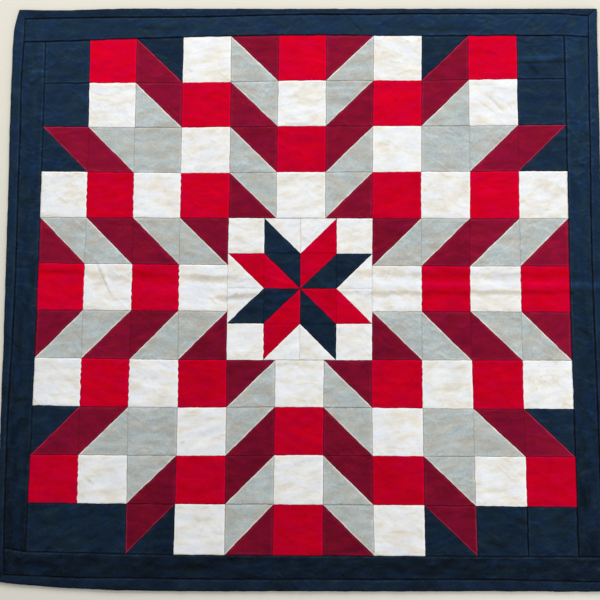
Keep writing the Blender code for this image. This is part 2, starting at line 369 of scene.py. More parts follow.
@dataclass(frozen=True)
class Fold:
    """A soft ridge or trough across the cloth, in mm: a negative height is a trough."""

    start: Place
    end: Place
    width: float
    height: float
    shade: float = 0.0  # how much painted shade its line gets, or below 0 how much painted highlight

    SWAY = 0.8  # how far it wanders to either side
    SWAY_STEP = 9.0
    FADES = (-0.1, 0.35, 0.65, 1.1)  # shares of its length where it starts, is full, weakens and ends
    FLANKS = (1.25, 0.75)  # how wide its right and left flanks are, as shares of its width

    def line(self, place: np.ndarray, sway: Unevenness) -> np.ndarray:
        """How near some places are to the fold, from 0 to 1, fading out at its ends and swaying a little."""
        reach, side, length = measured_along(self.start, self.end, place)
        side = side + self.SWAY * sway.at(reach / self.SWAY_STEP, length)
        starts, full, weakens, ends = self.FADES
        fade = smooth_step(starts, full, reach / length) * (1 - smooth_step(weakens, ends, reach / length))
        right, left = self.FLANKS
        steep = np.where(side > 0, left, right)
        return fade * near(side, self.width * steep)


@dataclass(frozen=True)
class Creases:
    """Fine, wandering creases that mostly run one way and come and go."""

    step: float  # between them, in mm
    stretch: float  # how many steps long they run
    turn: float  # how far they rise to the right, in degrees
    height: float

    SWAY = 0.7  # how far they wander, in steps
    FINENESS = 0.17  # how narrow they are: the less, the finer
    USUAL, CHANGE = 0.45, 1.1  # how strong they are, and how much that changes as they come and go

    def lines(self, place: np.ndarray, sway: Unevenness) -> np.ndarray:
        """How near some places are to a crease, from 0 to 1."""
        turn = math.radians(self.turn)
        along = place @ np.array((math.cos(turn), math.sin(turn))) / (self.step * self.stretch)
        across = place @ np.array((-math.sin(turn), math.cos(turn))) / self.step
        # The turn, 40 and 60 are added to read the unevenness at other places.
        across = across + self.SWAY * sway.at(along * 1.9 + self.turn, across / 2.5)
        line = near(sway.at(along + self.turn, across + 40), self.FINENESS)
        change = sway.at(along / 1.6 + 60, across / 3 + self.turn)
        return line * np.clip(self.USUAL + self.CHANGE * change, 0, 1)


@dataclass(frozen=True)
class Lie:
    """How the quilt lies: a soft unevenness all over, fine creases, and the folds, placed one by one."""

    folds: tuple[Fold, ...]
    sway: Unevenness = field(default_factory=lambda: Unevenness(3))
    # Step and height of each layer of the unevenness, in mm.
    layers: tuple[Place, ...] = ((34.0, 0.30), (13.0, 0.26), (6.0, 0.10))
    layer_shift: float = 17.3  # in steps, so that the layers don't line up
    creases: tuple[Creases, ...] = (
        Creases(12.0, 2.6, 4.0, 0.18),
        Creases(9.0, 2.2, -42.0, 0.14),
        Creases(10.0, 2.0, 57.0, 0.10),
        Creases(5.5, 2.6, 16.0, 0.06),
    )
    flank: float = 1.1  # how far the painted highlight and the painted shade of a crease lie from its ridge
    # Painted shade on one flank of each crease and painted highlight on the other.
    crease_shadow: float = 0.17
    crease_light: float = 0.22

    def heights(self, place: np.ndarray) -> np.ndarray:
        """Height over the evenly quilted cloth at some places."""
        total = np.zeros(len(place))
        for number, (step, height) in enumerate(self.layers):
            shifted = place / step + self.layer_shift * number
            total += height * self.sway.at(shifted[:, 0], shifted[:, 1])
        for crease in self.creases:
            total += crease.height * crease.lines(place, self.sway)
        for fold in self.folds:
            total += fold.height * fold.line(place, self.sway)
        return total

    def shades(self, place: np.ndarray) -> np.ndarray:
        """How much painted shade the folds and creases give some places, up to 1, or painted highlight, down
        to -1.
        """
        shade = np.zeros(len(place))
        for fold in self.folds:
            shade += fold.shade * fold.line(place, self.sway)
        for crease in self.creases:
            shade += self.crease_shadow * crease.lines(place + (0.0, self.flank), self.sway)
            shade -= self.crease_light * crease.lines(place - (0.0, self.flank), self.sway)
        return np.clip(shade, -1, 1)


FOLDS = (
    # In the first off-white square of the middle row.
    Fold((-219.0, 34.0), (-199.0, -10.0), 0.7, -0.45, 0.85),
    Fold((-215.5, 34.0), (-196.5, -8.0), 1.6, 0.35, -0.3),
    Fold((-228.0, 15.0), (-178.0, 11.0), 4.0, -0.30, 0.45),
    # Short ones in single patches.
    Fold((-127.0, 245.0), (-118.0, 239.7), 1.0, -0.3, 0.4),
    Fold((-143.2, 203.8), (-132.3, 194.0), 1.1, -0.35, 0.4),
    Fold((-147.0, 200.0), (-137.0, 190.0), 1.2, -0.30, 0.3),
    Fold((192.6, 216.1), (215.6, 194.2), 1.3, -0.42, 0.4),
    Fold((182.9, 210.1), (212.9, 186.3), 1.4, -0.38, 0.35),
    Fold((137.9, 175.4), (173.9, 166.3), 1.5, -0.38, 0.3),
    Fold((-226.8, -195.5), (-209.5, -209.1), 1.4, -0.45, 0.4),
    # The long folds through the middle row, left of the middle.
    Fold((-186.0, 16.5), (-124.0, 13.0), 4.0, -0.42, 0.8),
    Fold((-186.0, 2.0), (-70.0, 0.5), 4.0, 0.40, -0.6),
    Fold((-284.0, 19.4), (-226.0, 18.6), 2.4, -0.38, 0.9),
    Fold((-132.0, 14.2), (-62.0, 10.5), 3.4, -0.55, 0.9),
    Fold((-76.0, 8.0), (-30.0, 12.0), 3.2, -0.48, 0.5),
    Fold((-100.0, -10.5), (-34.0, -5.5), 2.8, -0.55, 0.9),
    # The long folds right of the middle, and the short ones that slant towards it from the left.
    Fold((16.0, 5.8), (334.0, 4.6), 3.0, 0.50, -0.8),
    Fold((16.0, -4.4), (334.0, -3.4), 2.3, -0.50, 0.85),
    Fold((36.0, 16.0), (304.0, 14.0), 3.6, -0.40, 0.5),
    Fold((-44.0, 17.0), (-11.0, 5.5), 1.1, 0.40, -0.9),
    Fold((-46.0, 12.0), (-20.0, 2.5), 1.4, -0.34, 0.4),
    # In the left border.
    Fold((-295.5, 225.8), (-280.0, 238.8), 1.1, -0.50, 0.8),
    Fold((-304.0, 20.7), (-283.5, 20.7), 1.5, 0.40, -0.4),
    Fold((-304.0, 5.5), (-282.8, 3.8), 1.7, 0.38, -0.35),
    Fold((-296.0, 241.5), (-274.0, 242.5), 1.4, 0.40, -0.45),
    Fold((-296.0, 233.5), (-276.0, 234.5), 1.4, 0.38, -0.35),
    Fold((-303.0, 96.0), (-281.0, 99.0), 1.9, -0.40, 0.5),
    Fold((-302.0, -120.0), (-279.0, -117.0), 2.0, -0.40, 0.5),
    Fold((-300.0, -205.0), (-279.0, -212.0), 1.8, 0.36, -0.3),
    # In the square at the top right corner.
    Fold((222.0, 255.0), (284.0, 256.6), 2.0, 0.45, -0.5),
    Fold((216.0, 249.0), (292.0, 252.0), 1.0, -0.48, 0.9),
    Fold((238.0, 250.0), (254.0, 234.5), 3.0, -0.38, 0.6),
    # In the top, right and bottom borders.
    Fold((-200.0, 293.0), (-120.0, 289.5), 2.2, -0.38, 0.5),
    Fold((96.0, 291.0), (190.0, 287.0), 2.2, -0.36, 0.4),
    Fold((284.0, 140.0), (302.0, 131.0), 2.0, -0.38, 0.5),
    Fold((283.0, -40.0), (301.0, -52.0), 2.0, -0.38, 0.5),
    Fold((281.0, -196.0), (303.0, -188.0), 2.0, 0.35, -0.3),
    Fold((-170.0, -291.0), (-70.0, -288.0), 2.4, -0.38, 0.5),
    Fold((60.0, -286.5), (200.0, -291.0), 2.4, -0.36, 0.45),
    # A short pleat beside a seam.
    Fold((-125.4, -162.8), (-119.3, -162.8), 0.8, -0.25, 0.6),
)


@dataclass(frozen=True)
class Look:
    """How the cloth on one side of a seam looks, its distances in mm."""

    shadow: float  # how dark the painted shade in the ditch is
    shadow_width: float
    shine: float = 0.3  # how light the painted highlight on the pressed edge is
    shine_at: float = 1.4  # how far in from the seam the painted highlight of the pressed edge lies
    sink: float = 1.0  # how deep it is drawn down, as a share of the full depth


@dataclass(frozen=True)
class Seam:
    """A sewn line between two places of the even grid, in mm, and how the cloth on one side of it lies."""

    start: Place
    end: Place
    raised: bool  # the turnings are pressed towards this side
    look: Look
    scallops: float = 1.0  # how much of the usual scalloping shows

    KEY_PER_MM = 0.173
    KEY_PER_RADIAN = 11.3

    def direction(self) -> np.ndarray:
        """The way that the seam runs, rightwards or else upwards, the same from both sides."""
        along = np.subtract(self.end, self.start)
        along = along / np.hypot(*along)
        return -along if along[0] < -1e-6 or (abs(along[0]) <= 1e-6 and along[1] < 0) else along

    def inwards(self) -> np.ndarray:
        """The way into the piece, to the left of the way from start to end."""
        along = np.subtract(self.end, self.start)
        return np.array((-along[1], along[0])) / np.hypot(*along)

    def normal(self) -> np.ndarray:
        """The way across the seam, the same from both sides."""
        along = self.direction()
        return np.array((-along[1], along[0]))

    def key(self) -> float:
        """A number that tells this line's unevenness from that of others."""
        along = self.direction()
        turn = math.atan2(along[1], along[0])
        return float(np.dot(self.start, self.normal())) * self.KEY_PER_MM + self.KEY_PER_RADIAN * turn


@dataclass(frozen=True)
class Sewing:
    """What a seam does to the cloth beside it, in mm."""

    seam_height: float = 2.1
    crown_height: float = 3.0
    # How much of the height is reached sharply, and the reaches of the sharp and of the soft part.
    pressed_up: Point = (0.70, 0.45, 3.2)
    pressed_away: Point = (0.28, 0.60, 2.8)
    # The pressed allowance: where it rises, where it ends, and how much it lifts the cloth.
    turning_start: Place = (0.3, 1.6)
    turning_end: Place = (TURNING - 1.4, TURNING + 0.8)
    turning_height: float = 0.22
    turning: Ripple = Ripple(11.0, 5.5, 0.35, usual=0.8)
    pucker: Ripple = Ripple(2.9, 2.5, 0.20)
    pucker_start: float = 0.9
    pucker_reach: float = 3.2
    # The scallops between the stitches, and how far in they and the wobble of the line reach.
    scallop_pitch: float = 8.4
    scallop: float = 0.10
    slip: Ripple = Ripple(21.0, 8.5, 5.0)
    swell: Ripple = Ripple(12.0, 9.5, 0.6, usual=0.7)
    wobble: Ripple = Ripple(9.0, 0.0, 0.30)
    shift_reach: float = 4.5
    opening: float = 0.06  # half of the gap that shows in a seam that is drawn down all the way
    opening_reach: float = 0.7
    # How the painted shade in the ditch and the painted highlight on the pressed edge waver along the seam,
    # and how wide that highlight is.
    shadow: Ripple = Ripple(4.3, 3.5, 0.3, usual=1.0)
    shine: Ripple = Ripple(6.1, 6.5, 0.45, usual=1.0)
    shine_width: float = 0.65
    unevenness: Unevenness = field(default_factory=lambda: Unevenness(11))

    def rise(self, away: np.ndarray, raised: bool) -> np.ndarray:
        """Share of the full height that the cloth has reached at some distances from a seam."""
        sharp, sharp_reach, soft_reach = self.pressed_up if raised else self.pressed_away
        return sharp * (1 - fading(away, sharp_reach)) + (1 - sharp) * (1 - fading(away, soft_reach))

    def line(self, scallops: float, along: np.ndarray, key: float) -> np.ndarray:
        """How far a seam strays from its straight line, with its scallops between the stitches."""
        stitch = along + self.slip.at(self.unevenness, along, key)
        swell = self.swell.at(self.unevenness, along, key)
        waves = scallops * self.scallop * swell * np.sin(2 * np.pi * stitch / self.scallop_pitch)
        return waves + self.wobble.at(self.unevenness, along, key)


class Relief:
    """The relief of one piece of cloth, built up seam by seam."""

    CALM = 3.0  # how near its ends a seam runs straight, in mm
    LOOSE = 0.3  # share of the folds that is left right in a seam

    def __init__(self, count: int, sewing: Sewing) -> None:
        """Starts with flat cloth of that many points."""
        self.sewing = sewing
        self.rise = np.ones(count)
        self.lift = np.zeros(count)
        self.shift = np.zeros((count, 2))
        self.ditch = np.zeros(count)
        self.shine = np.zeros(count)
        self.fold = np.zeros(count)

    def sew(self, seam: Seam, away: np.ndarray, along: np.ndarray, span: np.ndarray,
            inwards: np.ndarray) -> None:
        """Adds what one seam does.

        Args:
            seam: The seam.
            away: How far each point lies from it.
            along: Where each point lies along it, the same as seen from the other side.
            span: How far each point lies from the nearer end of the stretch, along it.
            inwards: The way from the seam into the piece, for all points or for each.
        """
        sewing, look, key = self.sewing, seam.look, seam.key()
        rough = sewing.unevenness
        self.rise *= 1 - look.sink * (1 - sewing.rise(away, seam.raised))
        if seam.raised:
            band = smooth_step(*sewing.turning_start, away) * (1 - smooth_step(*sewing.turning_end, away))
            self.lift += sewing.turning_height * band * sewing.turning.at(rough, along, key)
        pucker = sewing.pucker.at(rough, along, key) * fading(away, sewing.pucker_reach)
        self.lift += pucker * smooth_step(0, sewing.pucker_start, away)

        calm = 1 - near(np.maximum(span, 0), self.CALM)
        line = sewing.line(seam.scallops, along, key)
        side = 1.0 if np.dot(seam.inwards(), seam.normal()) > 0 else -1.0
        across = side * line * calm * fading(away, sewing.shift_reach)
        across += look.sink * sewing.opening * fading(away, sewing.opening_reach)
        self.shift += across[:, None] * inwards

        # Painted shade in the ditch, and a painted highlight along the pressed edge.
        shadow = look.shadow * sewing.shadow.at(rough, along, key)
        self.darken(np.clip(shadow * near(away, look.shadow_width), 0, 1))
        shine = look.shine * sewing.shine.at(rough, along, key)
        self.shine = np.maximum(self.shine, shine * near(away - look.shine_at, sewing.shine_width))

    def darken(self, shadow: np.ndarray) -> None:
        """Adds a shadow from 0 to 1 at each point to those already there."""
        self.ditch = 1 - (1 - self.ditch) * (1 - shadow)

    def painted_shading(self) -> np.ndarray:
        """Painted shading at each point: a seam's shade, a pressed edge's highlight, and a fold's shade, or
        below 0 its highlight.
        """
        return np.column_stack([self.ditch, self.shine, self.fold])

    def heights(self, lie: Lie, place: np.ndarray) -> np.ndarray:
        """The finished heights, in mm, once the cloth also lies in its folds."""
        sewing = self.sewing
        # The painted shade and highlight of the folds and creases.
        self.fold = lie.shades(place)
        full = sewing.crown_height - sewing.seam_height
        loose = self.LOOSE + (1 - self.LOOSE) * self.rise
        return sewing.seam_height + full * self.rise + self.lift * self.rise + lie.heights(place) * loose


@dataclass(frozen=True)
class Lattice:
    """A pattern of points and faces over a triangle, a four-sided patch or a strip."""

    faces: np.ndarray
    rim: np.ndarray  # the outer points, anticlockwise
    weights: np.ndarray | None = None  # a row for each point, a column for each corner


def strip_lattice(along: int, across: int) -> Lattice:
    """A lattice over a strip whose points run across it first, then along it."""
    index = np.arange((along + 1) * (across + 1)).reshape(along + 1, across + 1)
    quads = np.stack([index[:-1, :-1], index[1:, :-1], index[1:, 1:], index[:-1, 1:]], axis=-1)
    rim = np.concatenate([index[:-1, 0], index[-1, :-1], index[:0:-1, -1], index[0, :0:-1]])
    return Lattice(quads.reshape(-1, 4), rim)


@lru_cache(maxsize=None)
def square_lattice(across: int, down: int, grade: float) -> Lattice:
    """A lattice over corners that go top left, bottom left, bottom right, top right."""
    u, v = (part.ravel() for part in np.meshgrid(graded(across, grade), graded(down, grade)))
    weights = np.stack([(1 - u) * (1 - v), (1 - u) * v, u * v, u * (1 - v)], axis=1)
    return replace(strip_lattice(down, across), weights=weights)


@lru_cache(maxsize=None)
def triangle_lattice(count: int, grade: float) -> Lattice:
    """A lattice over three corners that go anticlockwise."""
    shares = graded(count, grade)
    steps = [(i, j) for i in range(count + 1) for j in range(count + 1 - i)]
    index = {step: number for number, step in enumerate(steps)}
    to_second, to_third = np.array(steps).T
    weights = np.stack([shares[count - to_second - to_third], shares[to_second], shares[to_third]], axis=1)
    weights /= weights.sum(axis=1, keepdims=True)
    faces = []
    for i, j in steps:
        if i + j < count:
            faces.append((index[i, j], index[i + 1, j], index[i, j + 1]))
        if i + j < count - 1:
            faces.append((index[i + 1, j], index[i + 1, j + 1], index[i, j + 1]))
    rim = [index[k, 0] for k in range(count)]
    rim += [index[count - k, k] for k in range(count)]
    rim += [index[0, count - k] for k in range(count)]
    return Lattice(np.array(faces), np.array(rim), weights)


@dataclass
class ClothMesh:
    """Gathers stretches of cloth into the mesh of one piece."""

    name: str
    turn_under: tuple[Place, ...] = ((0.10, 0.40), (0.45, 0.85))  # inwards and down, in mm
    points: list[np.ndarray] = field(default_factory=list)
    bolt: list[np.ndarray] = field(default_factory=list)
    painted_shading: list[np.ndarray] = field(default_factory=list)
    faces: list[tuple[int, ...]] = field(default_factory=list)
    count: int = 0

    def add(self, points: np.ndarray, faces: np.ndarray, bolt: np.ndarray, painted_shading: np.ndarray) -> int:
        """Adds points and faces.

        Args:
            points: Places in mm of the frame.
            faces: Rows of numbers of these points.
            bolt: Where each point lay on the uncut cloth in mm, and the tone of this stretch with its
                painted light.
            painted_shading: The painted shade of a seam, the painted highlight of a pressed edge, and the
                painted shade of a fold, or below 0 its highlight, at each point.

        Returns:
            The number that the first of these points got.
        """
        start = self.count
        self.points.append(points)
        self.bolt.append(bolt)
        self.painted_shading.append(painted_shading)
        self.faces += [tuple(face) for face in (faces + start).tolist()]
        self.count += len(points)
        return start

    def add_sewn(self, points: np.ndarray, lattice: Lattice, bolt: np.ndarray, relief: Relief) -> None:
        """Adds a stretch whose rim is turned under, down into its seams."""
        start = self.add(points, lattice.faces, bolt, relief.painted_shading())
        rim = lattice.rim
        tangent = np.roll(points[rim, :2], -1, axis=0) - np.roll(points[rim, :2], 1, axis=0)
        tangent /= np.linalg.norm(tangent, axis=1, keepdims=True)
        inwards = np.stack([-tangent[:, 1], tangent[:, 0]], axis=1)
        above = rim + start
        for reach, drop in self.turn_under:
            lower = points[rim].copy()
            lower[:, :2] += inwards * reach
            lower[:, 2] -= drop
            first = self.count
            below = np.arange(len(rim)) + first
            quads = np.stack([np.roll(above, -1), above, below, np.roll(below, -1)], axis=1)
            # The turned-under rim is painted in full shade, so the gap in the seam looks dark.
            self.add(lower, quads - first, bolt[rim], np.tile((1.0, 0.0, 0.0), (len(rim), 1)))
            above = below

    def finish(self, finish: "Cotton", nodes: tuple[str, ...]) -> bpy.types.Object:
        """Makes the piece, dresses it and lets it stand for its nodes."""
        mesh = bpy.data.meshes.new(self.name)
        points = np.concatenate(self.points) * MM
        mesh.from_pydata(points.tolist(), [], self.faces)
        for name, parts in (("bolt", self.bolt), ("painted_shading", self.painted_shading)):
            layer = mesh.attributes.new(name, "FLOAT_VECTOR", "POINT")
            layer.data.foreach_set("vector", np.concatenate(parts).astype(np.float32).ravel())
        mesh.shade_smooth()
        mesh.materials.append(finish.material())
        piece = bpy.data.objects.new(self.name, mesh)
        bpy.context.scene.collection.objects.link(piece)
        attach(piece, BODY)
        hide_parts(*nodes)
        log.info("%s: %d points, %d faces, for %s", self.name, self.count, len(self.faces), ", ".join(nodes))
        return piece


class Signal:
    """A number in a shader, so that maths on it reads as it does on paper."""

    def __init__(self, tree: "ShaderTree", socket: bpy.types.NodeSocket) -> None:
        """Wraps a node's output."""
        self.tree = tree
        self.socket = socket

    def _math(self, operation: str, *values: "Signal | float") -> "Signal":
        """Adds a Math node."""
        node = self.tree.node("ShaderNodeMath", {"operation": operation}, dict(enumerate(values)))
        return Signal(self.tree, node.outputs[0])

    def __add__(self, other: "Signal | float") -> "Signal":
        """Adds."""
        return self._math("ADD", self, other)

    __radd__ = __add__

    def __sub__(self, other: "Signal | float") -> "Signal":
        """Subtracts."""
        return self._math("SUBTRACT", self, other)

    def __rsub__(self, other: float) -> "Signal":
        """Subtracts this from a plain number."""
        return self._math("SUBTRACT", other, self)

    def __mul__(self, other: "Signal | float") -> "Signal":
        """Multiplies."""
        return self._math("MULTIPLY", self, other)

    __rmul__ = __mul__

    def sine(self) -> "Signal":
        """The sine of an angle in radians."""
        return self._math("SINE", self)

    def clamped(self) -> "Signal":
        """The number kept between 0 and 1."""
        return self._math("MAXIMUM", self._math("MINIMUM", self, 1.0), 0.0)


class ShaderTree:
    """A material's nodes, added by type, settings and inputs."""

    def __init__(self, name: str) -> None:
        """Starts a material with an empty tree."""
        self.material = bpy.data.materials.new(name)
        self.material.use_nodes = True
        self.tree = self.material.node_tree
        self.tree.nodes.clear()

    def node(self, kind: str, settings: dict[str, object] | None = None,
             inputs: dict[str | int, object] | None = None) -> bpy.types.Node:
        """Adds a node.

        Args:
            kind: The node's type.
            settings: Its settings, which are set first.
            inputs: Values or links for its sockets, by name or number.

        Returns:
            The node.
        """
        node = self.tree.nodes.new(kind)
        for name, value in (settings or {}).items():
            setattr(node, name, value)
        for name, value in (inputs or {}).items():
            source = value.socket if isinstance(value, Signal) else value
            if isinstance(source, bpy.types.NodeSocket):
                self.tree.links.new(source, node.inputs[name])
            else:
                node.inputs[name].default_value = source
        return node

    def attribute(self, name: str) -> bpy.types.NodeSocket:
        """Reads one of the piece's attributes."""
        return self.node("ShaderNodeAttribute", {"attribute_name": name}).outputs["Vector"]

    def parts(self, vector: bpy.types.NodeSocket) -> "tuple[Signal, Signal, Signal]":
        """The three numbers of a vector."""
        node = self.node("ShaderNodeSeparateXYZ", None, {0: vector})
        return tuple(Signal(self, output) for output in node.outputs)

    def noise(self, vector: bpy.types.NodeSocket, stretch: Point, detail: float = 2.0) -> Signal:
        """Reads noise over a vector that is scaled first, one unit being one step of the noise."""
        scaled = self.node("ShaderNodeVectorMath", {"operation": "MULTIPLY"}, {0: vector, 1: stretch})
        inputs = {"Vector": scaled.outputs[0], "Scale": 1.0, "Detail": detail}
        return Signal(self, self.node("ShaderNodeTexNoise", None, inputs).outputs["Fac"])

    def mix(self, factor: Signal, first: bpy.types.NodeSocket | Colour,
            second: Colour) -> bpy.types.NodeSocket:
        """Mixes two colours."""
        sockets = {0: factor, 7: (*second, 1.0)}
        sockets[6] = first if isinstance(first, bpy.types.NodeSocket) else (*first, 1.0)
        return self.node("ShaderNodeMix", {"data_type": "RGBA"}, sockets).outputs[2]

    def finish(self, inputs: dict[str | int, object]) -> bpy.types.Material:
        """Ends the tree in a Principled shader with those inputs."""
        shader = self.node("ShaderNodeBsdfPrincipled", None, inputs)
        self.node("ShaderNodeOutputMaterial", None, {"Surface": shader.outputs[0]})
        return self.material


@dataclass(frozen=True)
class Cotton:
    """A plain woven cotton as it comes off its bolt. Its colours are as a screen shows them."""

    name: str
    slot: str
    colour: Colour
    warm: Colour  # of its warmer blotches
    cool: Colour  # of its cooler blotches
    highlight_colour: Colour  # painted highlight along edges that were pressed flat
    cloud: float  # light and dark of broad, drawn-out blotches
    fleck: float  # light and dark of small flecks
    tone: float  # how far stretches differ in tone and in the painted light that the tone carries
    streak: float = 0.04  # light and dark of single threads
    painted_fold_shade: float = 0.35  # how much painted shade darkens a fold
    painted_crest_light: float = 0.5  # how much painted highlight lightens the crest of a fold
    roughness: float = 0.88
    gloss: float = 0.12
    sheen: float = 0.03
    thread: float = 0.42  # pitch of the weave, in mm

    # Steps of the noises per mm along and across the bolt. The third number acts on the tone, and so makes
    # each stretch another one.
    BROAD = (0.042, 0.095, 1.0)
    SMALL = (0.13, 0.24, 1.0)
    FLECK = (0.42, 0.62, 5.0)
    CLOUDS = (0.05, 0.12, 3.0)
    WARP = (2.1, 0.09, 1.0)
    WEFT = (0.09, 2.1, 1.0)
    SHEEN_ROUGHNESS = 0.5
    BUMP_STRENGTH = 0.6
    BUMP_HEIGHT = 0.06  # of the threads, in mm

    def material(self) -> bpy.types.Material:
        """The cotton's material, made once and shared by its pieces."""
        return bpy.data.materials.get(self.name) or self.weave()

    def weave(self) -> bpy.types.Material:
        """Makes the material: mottled dye, uneven threads, painted shade in ditches and folds, painted
        highlights on pressed edges and crests, and the painted light in the tone.
        """
        tree = ShaderTree(self.name)
        bolt = tree.attribute("bolt")
        ditch, shine, fold = tree.parts(tree.attribute("painted_shading"))
        x, y, tone = tree.parts(bolt)
        # The fold channel is painted shade above 0, and a crest's painted highlight below 0.
        trough, crest = fold.clamped(), (0.0 - fold).clamped()

        broad = tree.noise(bolt, self.BROAD, 2.0)
        small = tree.noise(bolt, self.SMALL, 1.5)
        fleck = tree.noise(bolt, self.FLECK, 1.5) - 0.5
        clouds = tree.noise(bolt, self.CLOUDS, 2.0) - 0.5
        # Painted fold shade tints the cloth warm, and a crest's painted highlight tints it cool.
        # Both sums are near 0 where the noises are middling, so plain cloth is left between the blotches.
        warm = (broad * 3.2 + small * 1.6 + fleck - 2.2 + trough * 2.5).clamped()
        cool = (2.2 - broad * 2.8 - small * 1.4 + fleck + crest * 1.2).clamped()
        dyed = tree.mix(warm, linear(*self.colour), linear(*self.warm))
        dyed = tree.mix(cool, dyed, linear(*self.cool))
        # Painted highlight along the pressed edges.
        dyed = tree.mix(shine.clamped(), dyed, linear(*self.highlight_colour))

        warp = tree.noise(bolt, self.WARP, 1.0)
        weft = tree.noise(bolt, self.WEFT, 1.0)
        threads = (warp + weft - 1.0) * (2 * self.streak)
        light = 1 + threads + clouds * (2 * self.cloud) + fleck * (2 * self.fleck)
        # The tone holds random tone and painted light.
        light = light + (tone - 0.5) * (2 * self.tone)
        # Painted shade in ditches and folds darkens the colour, and painted highlight on crests lightens it.
        light = light * (1 - ditch) * (1 - trough * self.painted_fold_shade) * (1 + crest * self.painted_crest_light)
        shade = tree.node("ShaderNodeVectorMath", {"operation": "SCALE"}, {0: dyed, 3: light})

        turn = math.pi / self.thread
        weave = (x * turn).sine() * (y * turn).sine()
        height = weave * 0.5 + (warp + weft) * 0.9 + small * 0.6 + fleck * 1.2
        bump = tree.node("ShaderNodeBump", None, {
            "Strength": self.BUMP_STRENGTH,
            "Distance": self.BUMP_HEIGHT * MM,
            "Height": height,
        })
        rough = (threads * 0.8 + self.roughness).clamped()
        return tree.finish({
            "Base Color": shade.outputs[0],
            "Roughness": rough,
            "Normal": bump.outputs[0],
            "Specular IOR Level": self.gloss,
            "Sheen Weight": self.sheen,
            "Sheen Roughness": self.SHEEN_ROUGHNESS,
        })


OFF_WHITE = Cotton("off_white_finish", "off_white_cotton", (242, 242, 240), (233, 226, 211), (236, 240, 247),
                   (255, 253, 250), cloud=0.16, fleck=0.10, tone=0.04, painted_fold_shade=0.30, painted_crest_light=0.05)
GREY = Cotton("grey_finish", "grey_cotton", (181, 188, 185), (183, 180, 170), (181, 193, 196),
              (240, 224, 213), cloud=0.28, fleck=0.21, tone=0.04, painted_fold_shade=0.35, painted_crest_light=0.4)
RED = Cotton("red_finish", "red_cotton", (199, 0, 38), (201, 0, 28), (194, 0, 47),
             (220, 2, 56), cloud=0.26, fleck=0.09, tone=0.24, gloss=0.02, sheen=0.0, painted_fold_shade=0.3, painted_crest_light=0.4)
BURGUNDY = Cotton("burgundy_finish", "burgundy_cotton", (127, 10, 42), (129, 12, 39), (124, 9, 47),
                  (158, 46, 76), cloud=0.40, fleck=0.20, tone=0.30, gloss=0.05, sheen=0.02, painted_fold_shade=0.5,
                  painted_crest_light=1.0)
NAVY = Cotton("navy_finish", "navy_cotton", (16, 35, 54), (21, 39, 52), (14, 35, 61),
              (38, 60, 86), cloud=0.68, fleck=0.32, tone=0.42, gloss=0.09, sheen=0.02, painted_fold_shade=0.9, painted_crest_light=1.8)
NAVY_BORDER = replace(NAVY, name="navy_border_finish", slot="navy_border", tone=0.5)
NAVY_BINDING = replace(NAVY, name="navy_binding_finish", slot="navy_binding", colour=(14, 34, 55),
                       warm=(18, 38, 52), highlight_colour=(34, 57, 84), tone=0.45, gloss=0.12)


class Cloth(Enum):
    """The cloths of the patchwork, from light to dark, by their letters in the chart."""

    OFF_WHITE = "W"
    GREY = "G"
    RED = "R"
    BURGUNDY = "B"
    NAVY = "N"

    @property
    def finish(self) -> Cotton:
        """The cotton that the cloth is cut from."""
        return {"W": OFF_WHITE, "G": GREY, "R": RED, "B": BURGUNDY, "N": NAVY}[self.value]

    @property
    def depth(self) -> int:
        """How dark the cloth is, because turnings are pressed towards the darker one."""
        return "WGRBN".index(self.value)


@dataclass(frozen=True)
class Patch:
    """One patch: its cloth, and its corners in columns and rows, anticlockwise."""

    cloth: Cloth
    corners: tuple[Place, ...]

    OUTSIDE = 0.05  # how far outside an edge the next patch is looked for

    def ends_of(self, edge: int) -> tuple[Place, Place]:
        """The two corners of one edge."""
        return self.corners[edge], self.corners[(edge + 1) % len(self.corners)]

    def beyond(self, edge: int) -> Place:
        """A place just outside the middle of one edge."""
        (c0, r0), (c1, r1) = self.ends_of(edge)
        step = self.OUTSIDE / math.hypot(c1 - c0, r1 - r0)
        return (c0 + c1) / 2 + (r0 - r1) * step, (r0 + r1) / 2 + (c1 - c0) * step

    def area(self) -> float:
        """Finished area in cells."""
        pairs = zip(self.corners, self.corners[1:] + self.corners[:1])
        return abs(sum(c0 * r1 - c1 * r0 for (c0, r0), (c1, r1) in pairs)) / 2


